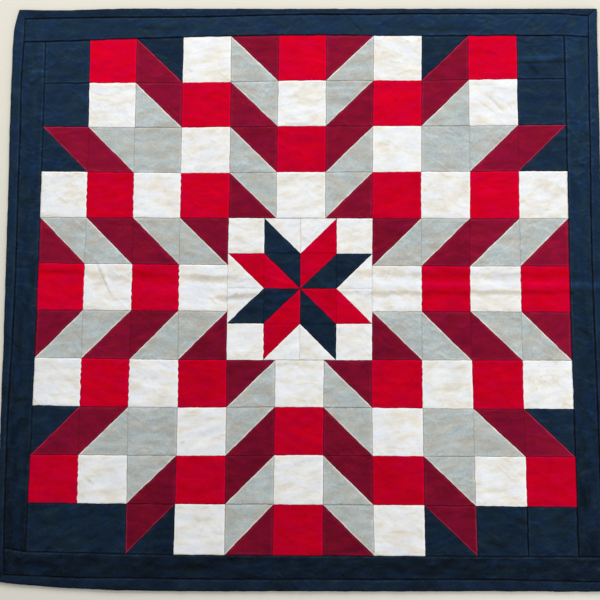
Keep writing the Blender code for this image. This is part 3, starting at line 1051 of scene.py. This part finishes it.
@dataclass
class Patchwork:
    """The pieced panel: the patches of each cloth, sewn together, are one piece."""

    grid: Grid
    sewing: Sewing
    lie: Lie
    steps: int = 44  # of the mesh across a cell
    grade: float = 1.45  # how much closer together they stand at the seams
    waves_left: float = 4.5  # scallops of the upright seams between off-white and red, left of the middle
    waves_right: float = 2.0
    off_grain: float = 0.15  # usual turn of a patch on its bolt, in radians
    bolt_span: Place = (100.0, 900.0)
    # How much lighter a patch is by chance as its own tone, and by painted light towards the top and towards
    # the sides; all are then darkened.
    tones_and_painted_light: Point = (0.3, 0.6, 0.3)
    darker: float = 0.08
    seed: int = 5
    patch_list: list[Patch] = field(init=False)

    def __post_init__(self) -> None:
        """Reads the chart."""
        self.patch_list = self.patches()

    def code(self, row: int, column: int) -> str:
        """What the chart says of a cell, mirrored for the right half."""
        last = self.grid.cells - 1
        if column <= last / 2:
            return CHART[row][column]
        code = CHART[row][last - column]
        if len(code) == 1:
            return code
        return {"d": "u", "u": "d"}[code[0]] + code[2] + code[1]

    def patches_of(self, code: str, column: float, row: float, size: float) -> list[Patch]:
        """The patches that one code of the chart stands for."""
        top_left, bottom_left = (column, row), (column, row + size)
        top_right, bottom_right = (column + size, row), (column + size, row + size)
        if code[0] == "d":
            return [Patch(Cloth(code[1]), (top_left, bottom_left, bottom_right)),
                    Patch(Cloth(code[2]), (top_left, bottom_right, top_right))]
        if code[0] == "u":
            return [Patch(Cloth(code[1]), (top_left, bottom_left, top_right)),
                    Patch(Cloth(code[2]), (top_right, bottom_left, bottom_right))]
        return [Patch(Cloth(code), (top_left, bottom_left, bottom_right, top_right))]

    def patches(self) -> list[Patch]:
        """All patches of the panel."""
        found = []
        for row in range(self.grid.cells):
            for column in range(self.grid.cells):
                code = self.code(row, column)
                if code == "*" or (row, column - 1) == LONG_PATCH:
                    continue
                cell = self.patches_of(code, column, row, 1)
                if (row, column) == LONG_PATCH:
                    # Its left edge is the panel's own, at column 0, and so stays in place.
                    cell = [Patch(cell[0].cloth, tuple((2 * c, r) for c, r in cell[0].corners))]
                found += cell
        for row, codes in enumerate(STAR):
            for column, code in enumerate(codes):
                place = (STAR_FIRST_CELL + number * STAR_UNIT for number in (column, row))
                found += self.patches_of(code, *place, STAR_UNIT)
        return found

    def cloth_at(self, column: float, row: float) -> Cloth | None:
        """The cloth at a place of the grid, or none outside the panel."""
        for patch in self.patch_list:
            corners = patch.corners
            sides = ((c1 - c0) * (row - r0) - (r1 - r0) * (column - c0)
                     for (c0, r0), (c1, r1) in zip(corners, corners[1:] + corners[:1]))
            if all(side < 1e-9 for side in sides):
                return patch.cloth
        return None

    def seam(self, patch: Patch, edge: int) -> Seam:
        """The seam along one edge of a patch, with the way it is pressed and how it looks.

        Allowances are pressed towards the darker cloth, and along the rows in turns to either side.
        """
        first, last = patch.ends_of(edge)
        (c0, r0), (c1, r1) = first, last
        start, end = ((column * self.grid.cell, -row * self.grid.cell) for column, row in (first, last))
        level, upright = r0 == r1, c0 == c1
        other = self.cloth_at(*patch.beyond(edge))
        if other is None:
            return Seam(start, end, False, self.outside_look(patch.cloth, first, level))
        odd_row = int(r0) % 2 == 1
        if other is patch.cloth:
            in_star = (r0 if level else c0) % 1 > 0
            raised = level and (c0 > c1) == odd_row
            return Seam(start, end, raised, self.plain_look(patch.cloth, level, in_star))
        raised = (c0 > c1) == odd_row if level else patch.cloth.depth > other.depth
        wavy = upright and {patch.cloth, other} == {Cloth.OFF_WHITE, Cloth.RED}
        left_half = 2 * c0 < self.grid.cells
        scallops = (self.waves_left if left_half else self.waves_right) if wavy else 1.0
        return Seam(start, end, raised, self.parting_look(patch.cloth, other, level), scallops)

    def outside_look(self, cloth: Cloth, first: Place, level: bool) -> Look:
        """How a seam looks where the patchwork meets the border."""
        top, right, bottom, left = SIDES
        column, row = first
        if level:
            side = top if row == 0 else bottom
        else:
            side = left if column == 0 else right
        share, width = (1.0, 0.9) if cloth is Cloth.NAVY else (0.5, 0.6)
        return Look(side.seam_shadow * share, width, shine=0.25, shine_at=1.9)

    def plain_look(self, cloth: Cloth, level: bool, in_star: bool) -> Look:
        """How a seam within one cloth looks."""
        if cloth is Cloth.NAVY and in_star:
            return Look(shadow=0.4, shadow_width=0.5, shine=0.0, sink=0.4)
        if cloth is Cloth.NAVY:
            return Look(shadow=0.9, shadow_width=0.75, shine=0.3, shine_at=1.7)
        if level and not in_star:
            return Look(shadow=0.42, shadow_width=0.5, shine=0.15, sink=0.5)
        return Look(shadow=0.2, shadow_width=0.4, shine=0.0, sink=0.22)

    def parting_look(self, cloth: Cloth, other: Cloth, level: bool) -> Look:
        """How a seam between two cloths looks on the side of the first."""
        if cloth.depth < other.depth:
            shadow = 0.2 if level and cloth.depth > Cloth.GREY.depth else 0.03
            shine = 0.6 if other is Cloth.GREY else 0.9
            return Look(shadow, shadow_width=0.4, shine=shine, shine_at=0.5, sink=0.5)
        if cloth is Cloth.NAVY:
            return Look(0.85 if level else 0.7, shadow_width=0.7, shine=0.2, shine_at=1.5, sink=0.5)
        return Look(0.5 if level else 0.35, shadow_width=0.5, shine=0.2, shine_at=1.5, sink=0.5)

    def add_patch(self, patch: Patch, mesh: ClothMesh, rng: np.random.Generator) -> None:
        """Adds one patch to the mesh of its cloth."""
        corners = np.array(patch.corners)
        size = corners.max(axis=0) - corners.min(axis=0)
        across, down = (int(round(self.steps * part)) for part in size)
        whole = len(corners) == 4
        lattice = square_lattice(across, down, self.grade) if whole else triangle_lattice(across, self.grade)
        flat = lattice.weights @ corners
        nominal = flat * np.array((self.grid.cell, -self.grid.cell))
        place = self.grid.points(flat[:, 0], flat[:, 1])
        relief = Relief(len(flat), self.sewing)
        for edge in range(len(corners)):
            seam = self.seam(patch, edge)
            inwards, along = seam.inwards(), seam.direction()
            reach = nominal @ along
            ends = sorted((np.dot(seam.start, along), np.dot(seam.end, along)))
            span = np.minimum(reach - ends[0], ends[1] - reach)
            away = np.maximum((nominal - np.array(seam.start)) @ inwards, 0)
            relief.sew(seam, away, reach, span, inwards)
        height = relief.heights(self.lie, place)
        points = np.column_stack([place + relief.shift, height])
        mesh.add_sewn(points, lattice, self.on_bolt(nominal, rng), relief)

    def on_bolt(self, nominal: np.ndarray, rng: np.random.Generator) -> np.ndarray:
        """Where a patch was cut from its bolt, a little off the grain, and its tone.

        Painted light: the light falls from beyond the top edge, so patches are painted lighter towards it
        and towards the sides.
        """
        turn = rng.normal(0, self.off_grain)
        away = nominal - nominal.mean(axis=0)
        turned = away @ np.array(((math.cos(turn), math.sin(turn)), (-math.sin(turn), math.cos(turn))))
        turned = turned + rng.uniform(*self.bolt_span, 2)
        x, y = nominal.mean(axis=0) / (self.grid.cell * self.grid.cells)
        by_chance, painted_light_by_height, painted_light_by_side = self.tones_and_painted_light
        tone = by_chance * rng.uniform(0, 1) + painted_light_by_height * (1 + y) + painted_light_by_side * (2 * x - 1) ** 2
        return np.column_stack([turned, np.full(len(nominal), tone - self.darker)])

    def build(self) -> list[bpy.types.Object]:
        """Makes one piece of each cloth's patches."""
        rng = np.random.default_rng(self.seed)
        pieces = []
        for cloth in Cloth:
            mesh = ClothMesh(cloth.name.lower() + "_patches")
            own = [patch for patch in self.patch_list if patch.cloth is cloth]
            for patch in own:
                self.add_patch(patch, mesh, rng)
            piece = mesh.finish(cloth.finish, (PANEL_NODE,))
            cells = sum(patch.area() for patch in own)
            strip = (self.grid.cell + 2 * TURNING) * MM
            cells * strip
            cells * (self.grid.cell * MM) ** 2
            log.info("%s: %d patches, %.1f cells", piece.name, len(own), cells)
            pieces.append(piece)
        return pieces


@dataclass(frozen=True)
class Join:
    """A slanting seam across a strip where two lengths of it are sewn together, in mm."""

    start: Place
    end: Place

    WIDTH = 0.6
    DEPTH = 0.5
    SHADOW = 0.6
    LIFT = 0.14  # of the allowances under it
    FAR = 10  # how many times over the distance past its ends counts

    def away(self, place: np.ndarray) -> np.ndarray:
        """How far some places lie from the join, to its left, and far away beyond its ends."""
        reach, side, length = measured_along(self.start, self.end, place)
        beyond = np.maximum(np.maximum(-reach, reach - length) - length, 0)
        return side + np.sign(side) * beyond * self.FAR


JOINS = (
    Join((49.4, 300.3), (63.4, 285.3)),
    Join((303.9, 166.6), (313.2, 159.8)),
    Join((-310.1, -48.9), (-302.5, -56.4)),
    Join((-11.0, -304.6), (-2.8, -313.6)),
)


def seam_in_joins(place: np.ndarray) -> tuple[np.ndarray, np.ndarray]:
    """What the slanting joins do to a strip: how deep the shadow is, and how much is added to its height."""
    ditch, height = np.zeros(len(place)), np.zeros(len(place))
    for join in JOINS:
        away = join.away(place)
        line = near(away, join.WIDTH)
        ditch = np.maximum(ditch, join.SHADOW * line)
        height += join.LIFT * np.exp(-((away / TURNING) ** 4)) - join.DEPTH * line
    return ditch, height


@dataclass
class Border:
    """The four strips of plain cloth round the patchwork."""

    grid: Grid
    sewing: Sewing
    lie: Lie
    steps: int = 34  # of the mesh along a cell
    steps_across: int = 20
    grade: float = 1.5  # how much closer together they stand at the seams
    seed: int = 21
    bolt_start: float = 200.0
    bolt_step: float = 300.0  # between strips on the bolt, about
    end_shadow: float = 0.85
    end_shadow_width: float = 0.95
    # The strips' own creases: level ones on the strips that run down, slanting ones on the others.
    level: Creases = Creases(7.5, 3.0, 3.0, 0.26)
    slanting: Creases = Creases(9.0, 2.4, 38.0, 0.26)

    def span(self, side: Side) -> Place:
        """Where the strip starts and ends, in cells from the patchwork's first corner on that side."""
        cells = float(self.grid.cells)
        return (-1.0, cells + 1.0) if side.full_width else (0.0, cells)

    def ends(self, side: Side) -> tuple[np.ndarray, np.ndarray]:
        """The inner corners of a full-width strip, on the binding's seams of the sides next to it."""
        here = SIDES.index(side)
        before, after = SIDES[here - 1], SIDES[(here + 1) % len(SIDES)]
        start = before.line(Line.BINDING_SEAM, before.shares(self.grid)[-1:], self.grid)[0]
        end = after.line(Line.BINDING_SEAM, after.shares(self.grid)[:1], self.grid)[0]
        return start, end

    def inner(self, side: Side, at: np.ndarray) -> np.ndarray:
        """Points on the strip's inner seam, at some numbers of cells from the patchwork's corner."""
        on_grid = np.clip(at, 0, self.grid.cells)
        points = self.grid.points(*side.cells_along(on_grid, self.grid))
        if side.full_width:
            start, end = self.ends(side)
            before, after = np.clip(-at, 0, 1)[:, None], np.clip(at - self.grid.cells, 0, 1)[:, None]
            points = points + (start - points) * before + (end - points) * after
        return points

    def outer(self, side: Side, at: np.ndarray) -> np.ndarray:
        """Points on the binding's seam beside those on the inner seam."""
        steps = np.arange(self.grid.cells + 1.0)
        shares = side.shares(self.grid)
        if side.full_width:
            steps = np.concatenate([[-1.0], steps, [self.grid.cells + 1.0]])
            shares = np.concatenate([[0.0], shares, [1.0]])
        return side.line(Line.BINDING_SEAM, np.interp(at, steps, shares), self.grid)

    def relief(self, side: Side, at: np.ndarray, to_inner: np.ndarray, to_outer: np.ndarray,
               outwards: np.ndarray) -> Relief:
        """Sews the strip on all round.

        Args:
            side: The side of the strip.
            at: How many cells along it each point lies.
            to_inner: How far each point lies from the seam with the patchwork.
            to_outer: How far it lies from the seam with the binding.
            outwards: The way from the inner seam to the outer one.

        Returns:
            The relief, without the joins.
        """
        cell, cells = self.grid.cell, float(self.grid.cells)
        first, last = self.span(side)
        to_mm = (cell, -cell)
        start, end = np.column_stack(side.cells_along(np.array((0.0, cells)), self.grid)) * to_mm
        look = Look(side.seam_shadow, shadow_width=1.0, shine=side.seam_shine, shine_at=1.5)
        inner = Seam(tuple(start), tuple(end), True, look)
        reach = np.column_stack(side.cells_along(at, self.grid)) * to_mm @ inner.direction()
        # These ends are no real places: they only make the unevenness of each side another one.
        ends = (0.0, side.length()), (1.0, side.length() + len(side.name))
        outer = Seam(*ends, False, Look(shadow=0.9, shadow_width=0.9))
        to_end = np.minimum(at - first, last - at) * cell

        relief = Relief(len(at), self.sewing)
        relief.sew(inner, to_inner, reach, np.abs(at - np.round(at)) * cell, outwards)
        relief.sew(outer, to_outer, at * cell, to_end, -outwards)
        relief.rise *= self.sewing.rise(to_end, False)
        relief.darken(self.end_shadow * near(to_end, self.end_shadow_width))
        return relief

    def build_strip(self, side: Side, rng: np.random.Generator) -> bpy.types.Object:
        """Makes the strip of one side."""
        cell = self.grid.cell
        first, last = self.span(side)
        count = int(self.steps * (last - first))
        at = first + (last - first) * np.linspace(0, 1, count + 1)
        shares = graded(self.steps_across, self.grade)
        at, share = (part.ravel() for part in np.meshgrid(at, shares, indexing="ij"))
        inner = self.inner(side, at)
        across = self.outer(side, at) - inner
        width = np.linalg.norm(across, axis=1)
        place = inner + across * share[:, None]

        relief = self.relief(side, at, share * width, (1 - share) * width, across / width[:, None])
        shadow, lift = seam_in_joins(place)
        relief.darken(shadow)
        relief.lift += lift
        own = self.slanting if side.full_width else self.level
        height = relief.heights(replace(self.lie, creases=(*self.lie.creases, own)), place)
        tone = side.tone((at - first) / (last - first))
        up, right = self.bolt_step * rng.uniform(1, 3), self.bolt_start
        bolt = np.column_stack([at * cell + right, share * width + up, tone])
        mesh = ClothMesh(side.name + "_border_cloth")
        points = np.column_stack([place + relief.shift, height])
        mesh.add_sewn(points, strip_lattice(count, self.steps_across), bolt, relief)
        piece = mesh.finish(NAVY_BORDER, ("border_" + side.name,))
        length = side.length() if side.full_width else self.grid.cells * cell
        return piece

    def build(self) -> list[bpy.types.Object]:
        """Makes the four strips."""
        rng = np.random.default_rng(self.seed)
        return [self.build_strip(side, rng) for side in SIDES]


@dataclass
class Binding:
    """The folded strip round the edge: sewn down on top, turned over the edge and hemmed to the back.

    Its sizes are in mm, and shares of the width count outwards from the seam.
    """

    grid: Grid
    lie: Lie
    steps_along: int = 400
    steps_across: int = 40
    grade: float = 1.12  # how much closer together they stand at the mitres
    seed: int = 31
    cut_width: float = 63.5
    folded_width: float = 27.0  # of the layer that shows, from the seam round to the hem
    under: float = 5.0  # how much more of its width lies round the edge and under the hem
    bolt_start: float = 100.0
    bolt_step: Place = (400.0, 80.0)  # along and across the bolt, from side to side
    # Share of the width, and height, over the top, round the edge and back under it.
    section: tuple[Place, ...] = (
        (0.05, 1.25), (0.0, 1.9), (0.02, 2.35), (0.08, 2.85), (0.20, 3.20), (0.42, 3.40), (0.66, 3.34),
        (0.84, 3.02), (0.95, 2.45), (1.0, 1.65), (0.985, 0.95), (0.93, 0.38), (0.83, 0.08), (0.6, 0.0),
        (0.32, 0.0), (0.1, 0.02), (0.02, 0.18), (0.03, 0.40), (0.12, 0.48),
    )
    upper_heights: Place = (1.3, 2.4)  # where the side that shows from above begins
    # The uneven rim, and how far from the mitres it grows so.
    rim: Place = (0.6, 1.0)
    rim_ripples: tuple[Ripple, Ripple] = (Ripple(9.0, 1.5, 0.30), Ripple(3.4, 4.5, 0.16))
    rim_calm: float = 6.0
    # The points of the corners are drawn in.
    corner_pull: float = 0.35
    corner_reach: float = 1.2
    corner: Place = (0.3, 1.0)
    # The scallops between the stitches along the seam.
    scallop: float = 0.16
    scallop_middle: float = 0.6
    stitch: float = 5.6
    seam_ripple: Ripple = Ripple(8.0, 7.5, 0.4)
    scallop_reach: float = 2.5
    scallop_calm: float = 3.0
    # The folded strip is dragged on a slant, less so at the seam and the rim.
    slant: float = 0.7
    drag_edge: float = 0.35
    slant_ripple: Ripple = Ripple(3.6, 10.5, 0.13)
    level_ripple: Ripple = Ripple(14.0, 13.5, 0.10)
    # The ditch of the mitre: its least depth, how much more a dark one has, and its width.
    mitre_depth: Place = (0.3, 0.6)
    mitre_width: float = 0.9
    lie_share: float = 0.6  # how much of the quilt's own folds it takes on
    # How dark and how wide the painted shades and the painted highlights along the pressed edges are, and
    # how far in these lie.
    seam_shadow: Place = (0.9, 0.95)
    mitre_shadow_width: float = 0.7
    rim_shadow: float = 0.6
    rim_shadow_from: Place = (0.88, 0.99)
    seam_shine: Point = (0.4, 0.6, 1.9)
    mitre_shine: Point = (0.7, 0.5, 1.4)

    def build_strip(self, side: Side, number: int) -> bpy.types.Object:
        """Makes the binding of one side, mitred at both ends."""
        wrap = Wrap(side, number, self)
        place = wrap.place()
        points = np.column_stack([place, wrap.heights(place, self.lie)])
        mesh = ClothMesh(side.name + "_binding_cloth")
        lattice = strip_lattice(self.steps_along, self.steps_across)
        mesh.add(points, lattice.faces, wrap.bolt(), wrap.painted_shading(place, self.lie))
        piece = mesh.finish(NAVY_BINDING, ("binding_" + side.name,))
        length = side.length() * MM
        return piece

    def build(self) -> list[bpy.types.Object]:
        """Makes the four sides."""
        return [self.build_strip(side, number) for number, side in enumerate(SIDES)]


class Wrap:
    """The points of one side's binding, along the side and round the folded edge."""

    def __init__(self, side: Side, number: int, binding: Binding) -> None:
        """Lays the points out, before the cloth's own unevenness."""
        self.side, self.number, self.binding = side, number, binding
        self.rough = Unevenness(binding.seed + number)
        around = np.linspace(0, 1, binding.steps_across + 1)
        stations = tuple(np.linspace(0, 1, len(binding.section)))
        profile = curve_weights(stations, around) @ np.array(binding.section)
        shares = graded(binding.steps_along, binding.grade)
        share, out = np.meshgrid(shares, profile[:, 0], indexing="ij")
        self.share, self.out = share.ravel(), out.ravel()
        self.around = np.tile(around, len(shares))
        self.level = np.tile(profile[:, 1], len(shares))
        self.seam = side.line(Line.BINDING_SEAM, self.share, binding.grid)
        across = side.line(Line.EDGE, self.share, binding.grid) - self.seam
        self.width = np.linalg.norm(across, axis=1)
        self.outwards = across / self.width[:, None]
        self.along = self.share * side.length()
        self.mitre = np.minimum(self.along, side.length() - self.along)
        self.upper = smooth_step(*binding.upper_heights, self.level)
        nearer_first = self.along < side.length() / 2
        self.mitre_dark = np.where(nearer_first, side.first.mitre, side.last.mitre)

    def place(self) -> np.ndarray:
        """Where the points lie in the plane, with an uneven rim and a scalloped seam."""
        binding, along, from_seam = self.binding, self.along, self.out * self.width
        broad, fine = (ripple.at(self.rough, along) for ripple in binding.rim_ripples)
        rim = smooth_step(*binding.rim, self.out) * (1 - fading(self.mitre, binding.rim_calm))
        reach = from_seam + rim * (broad + fine)
        pull = binding.corner_pull * fading(self.mitre, binding.corner_reach)
        reach -= pull * smooth_step(*binding.corner, self.out)
        scallop = binding.scallop * (np.abs(np.sin(np.pi * along / binding.stitch)) - binding.scallop_middle)
        scallop += binding.seam_ripple.at(self.rough, along)
        scallop *= fading(from_seam, binding.scallop_reach)
        reach += scallop * self.upper * (1 - fading(self.mitre, binding.scallop_calm))
        return self.seam + self.outwards * reach[:, None]

    def heights(self, place: np.ndarray, lie: Lie) -> np.ndarray:
        """The heights at those places, with the slanting drag of a folded strip."""
        binding = self.binding
        drag = binding.slant_ripple.at(self.rough, self.along - binding.slant * self.out * self.width)
        drag += binding.level_ripple.at(self.rough, self.along, self.out)
        body = np.sin(np.pi * np.clip(self.out, 0, 1)) * self.upper
        height = self.level + drag * (binding.drag_edge + (1 - binding.drag_edge) * body) * self.upper
        least, more = binding.mitre_depth
        height -= self.upper * (least + more * self.mitre_dark) * near(self.mitre, binding.mitre_width)
        height += self.upper * seam_in_joins(place)[1]
        return height + self.upper * binding.lie_share * lie.heights(place)

    def painted_shading(self, place: np.ndarray, lie: Lie) -> np.ndarray:
        """Painted shading at each point: a seam's shade, a pressed edge's highlight, and a fold's shade, or
        below 0 its highlight.
        """
        binding, from_seam = self.binding, self.out * self.width
        # Painted shade along the seam, in the mitre, in the joins and at the rim, and painted highlights
        # beside the seam and the mitre.
        shadow, width = binding.seam_shadow
        at_seam = self.upper * near(from_seam, width) * shadow
        at_mitre = self.mitre_dark * self.upper * near(self.mitre, binding.mitre_shadow_width)
        at_join = seam_in_joins(place)[0] * self.upper
        at_rim = binding.rim_shadow * smooth_step(*binding.rim_shadow_from, self.out)
        ditch = 1 - (1 - at_seam) * (1 - at_mitre) * (1 - at_join) * (1 - at_rim)
        shine, width, lies_in = binding.seam_shine
        along_seam = self.upper * shine * near(from_seam - lies_in, width)
        shine, width, lies_in = binding.mitre_shine
        along_mitre = shine * self.mitre_dark * self.upper * near(self.mitre - lies_in, width)
        return np.column_stack([ditch, np.maximum(along_seam, along_mitre), lie.shades(place) * self.upper])

    def bolt(self) -> np.ndarray:
        """Where each point lay on the uncut cloth, each side on a stretch of its own, and its painted light.
        """
        binding = self.binding
        right, up = (step * self.number for step in binding.bolt_step)
        tone = self.side.tone(self.share) + self.side.binding_painted_light
        along = self.along + right + binding.bolt_start
        return np.column_stack([along, self.around * binding.folded_width + up, tone])


@dataclass
class Backing:
    """The plain cloth underneath, drawn up a little along the lines where it is quilted in the ditch."""

    grid: Grid
    reach: float = 28.5  # how far it runs on past the patchwork, under the binding's hem
    hem: Place = (21.0, 26.0)  # where it rises to make room for the hem, from the patchwork outwards
    hem_height: float = 0.55
    drawn_height: float = 0.5
    drawn_width: float = 1.5
    drawn_most: float = 1.2  # where two lines cross, as a share of one line's height
    drawn_past: float = 0.1  # how far past the patchwork the lines end
    shadow: float = 0.45
    sag: Ripple = Ripple(12.0, 0.0, 0.08, usual=0.10)
    clearance: float = 0.02
    seed: int = 51
    bolt_start: float = 1500.0
    # Places across half a cell, and across the border beyond, closer together at the quilting lines.
    half_cell: tuple[float, ...] = (0.0, 0.012, 0.03, 0.06, 0.12, 0.22, 0.36, 0.5)
    border: tuple[float, ...] = (0.03, 0.08, 0.2, 0.4, 0.6, 0.8, 0.88, 0.94, 1.0)

    def stations(self) -> np.ndarray:
        """Places across the cloth, in cells."""
        half = np.array(self.half_cell)
        cell = np.concatenate([half, 1 - half[-2::-1]])[:-1]
        inside = np.concatenate([cell + number for number in range(self.grid.cells)] + [[self.grid.cells]])
        border = np.array(self.border) * self.reach / self.grid.cell
        return np.concatenate([-border[::-1], inside, self.grid.cells + border])

    def build(self) -> bpy.types.Object:
        """Makes the backing."""
        cells, cell = self.grid.cells, self.grid.cell
        stations = self.stations()
        column, row = (part.ravel() for part in np.meshgrid(stations, stations, indexing="ij"))
        on_column, on_row = np.clip(column, 0, cells), np.clip(row, 0, cells)
        beyond = np.stack([column - on_column, on_row - row], axis=1) * cell
        outside = np.abs(beyond).max(axis=1)
        place = self.grid.points(on_column, on_row) + beyond

        to_lines = (np.abs(line - np.round(line)) * cell for line in (column, row))
        drawn = sum(near(away, self.drawn_width) for away in to_lines) * (outside < self.drawn_past)
        drawn = self.drawn_height * np.minimum(drawn, self.drawn_most)
        soft = self.sag.at(Unevenness(self.seed), place[:, 0], place[:, 1] / self.sag.step)
        height = self.clearance + soft + drawn + self.hem_height * smooth_step(*self.hem, outside)
        ditch = self.shadow * np.clip(drawn / self.drawn_height, 0, 1)
        bolt = np.column_stack([place + self.bolt_start, np.full(len(place), 0.5)])
        painted_shading = np.column_stack([ditch, np.zeros((len(place), 2))])

        mesh = ClothMesh("quilt_back")
        lattice = strip_lattice(len(stations) - 1, len(stations) - 1)
        mesh.add(np.column_stack([place, height]), lattice.faces, bolt, painted_shading)
        piece = mesh.finish(NAVY_BORDER, (PANEL_NODE,))
        return piece


@dataclass(frozen=True)
class Lamp:
    """A soft square light that points at the quilt's middle."""

    name: str
    place: Point
    size: float
    power: float
    colour: Colour

    def build(self) -> None:
        """Makes the light."""
        data = bpy.data.lights.new(self.name, "AREA")
        data.size = self.size
        data.energy = self.power
        data.color = self.colour
        light = bpy.data.objects.new(self.name, data)
        light.location = self.place
        light.rotation_euler = (-Vector(self.place)).to_track_quat("-Z", "Y").to_euler()
        bpy.context.scene.collection.objects.link(light)


@dataclass(frozen=True)
class Studio:
    """The floor, the light and the camera, in metres and radians."""

    camera_place: Point = (0.07021, -0.52541, 2.06081)
    camera_turn: Point = (0.24464, 0.03318, 0.00786)
    lens: float = 122.02
    sensor: float = 36.0
    floor_size: float = 8.0
    floor_height: float = -0.0003
    floor_colour: Colour = (232, 228, 214)
    floor_cloud: Colour = (221, 217, 203)
    floor_clouding: float = 0.25
    floor_noise: Point = (6.0, 6.0, 6.0)
    floor_roughness: float = 0.8
    lamps: tuple[Lamp, ...] = (
        Lamp("window", (-0.1, 1.60, 1.25), 1.2, 30.0, (1.0, 0.985, 0.965)),
        Lamp("side_window", (0.80, -0.54, 0.45), 0.7, 3.3, (1.0, 0.99, 0.975)),
    )
    sky_colour: Colour = (0.93, 0.96, 1.0)
    sky_strength: float = 0.46

    def build_floor(self) -> None:
        """A plain pale floor just under the quilt."""
        bpy.ops.object.select_all(action="DESELECT")
        bpy.ops.mesh.primitive_plane_add(size=self.floor_size, location=(0.0, 0.0, 0.0))
        floor = bpy.context.object
        floor.name = "floor"
        floor.data.transform(floor.matrix_world)
        for vertex in floor.data.vertices:
            vertex.co.z = self.floor_height
        tree = ShaderTree("floor_finish")
        place = tree.node("ShaderNodeTexCoord").outputs["Object"]
        cloud = tree.noise(place, self.floor_noise, 3.0) * self.floor_clouding
        colour = tree.mix(cloud, linear(*self.floor_colour), linear(*self.floor_cloud))
        floor.data.materials.append(tree.finish({"Base Color": colour, "Roughness": self.floor_roughness}))

    def build_camera(self) -> None:
        """The camera, above the quilt and a little towards its lower edge."""
        data = bpy.data.cameras.new("camera")
        data.lens = self.lens
        data.sensor_width = self.sensor
        camera = bpy.data.objects.new("camera", data)
        camera.location = self.camera_place
        camera.rotation_euler = self.camera_turn
        bpy.context.scene.collection.objects.link(camera)
        bpy.context.scene.camera = camera

    def build_light(self) -> None:
        """Soft light from beyond the top edge, a weaker one from the right, and one from all round."""
        for lamp in self.lamps:
            lamp.build()
        world = bpy.data.worlds.new("daylight")
        world.use_nodes = True
        background = world.node_tree.nodes["Background"]
        background.inputs["Color"].default_value = (*self.sky_colour, 1.0)
        background.inputs["Strength"].default_value = self.sky_strength
        bpy.context.scene.world = world
        bpy.context.scene.view_settings.view_transform = "Standard"

    def build(self) -> None:
        """Sets the whole stage."""
        self.build_floor()
        self.build_camera()
        self.build_light()


def main() -> None:
    """Builds the quilt from the back to the binding, and the studio round it."""
    logging.basicConfig(level=logging.INFO, format="%(name)s: %(message)s")
    grid, sewing, lie = Grid(), Sewing(), Lie(FOLDS)
    Studio().build()
    Backing(grid).build()
    Patchwork(grid, sewing, lie).build()
    Border(grid, sewing, lie).build()
    Binding(grid, lie).build()


if __name__ == "__main__":
    main()
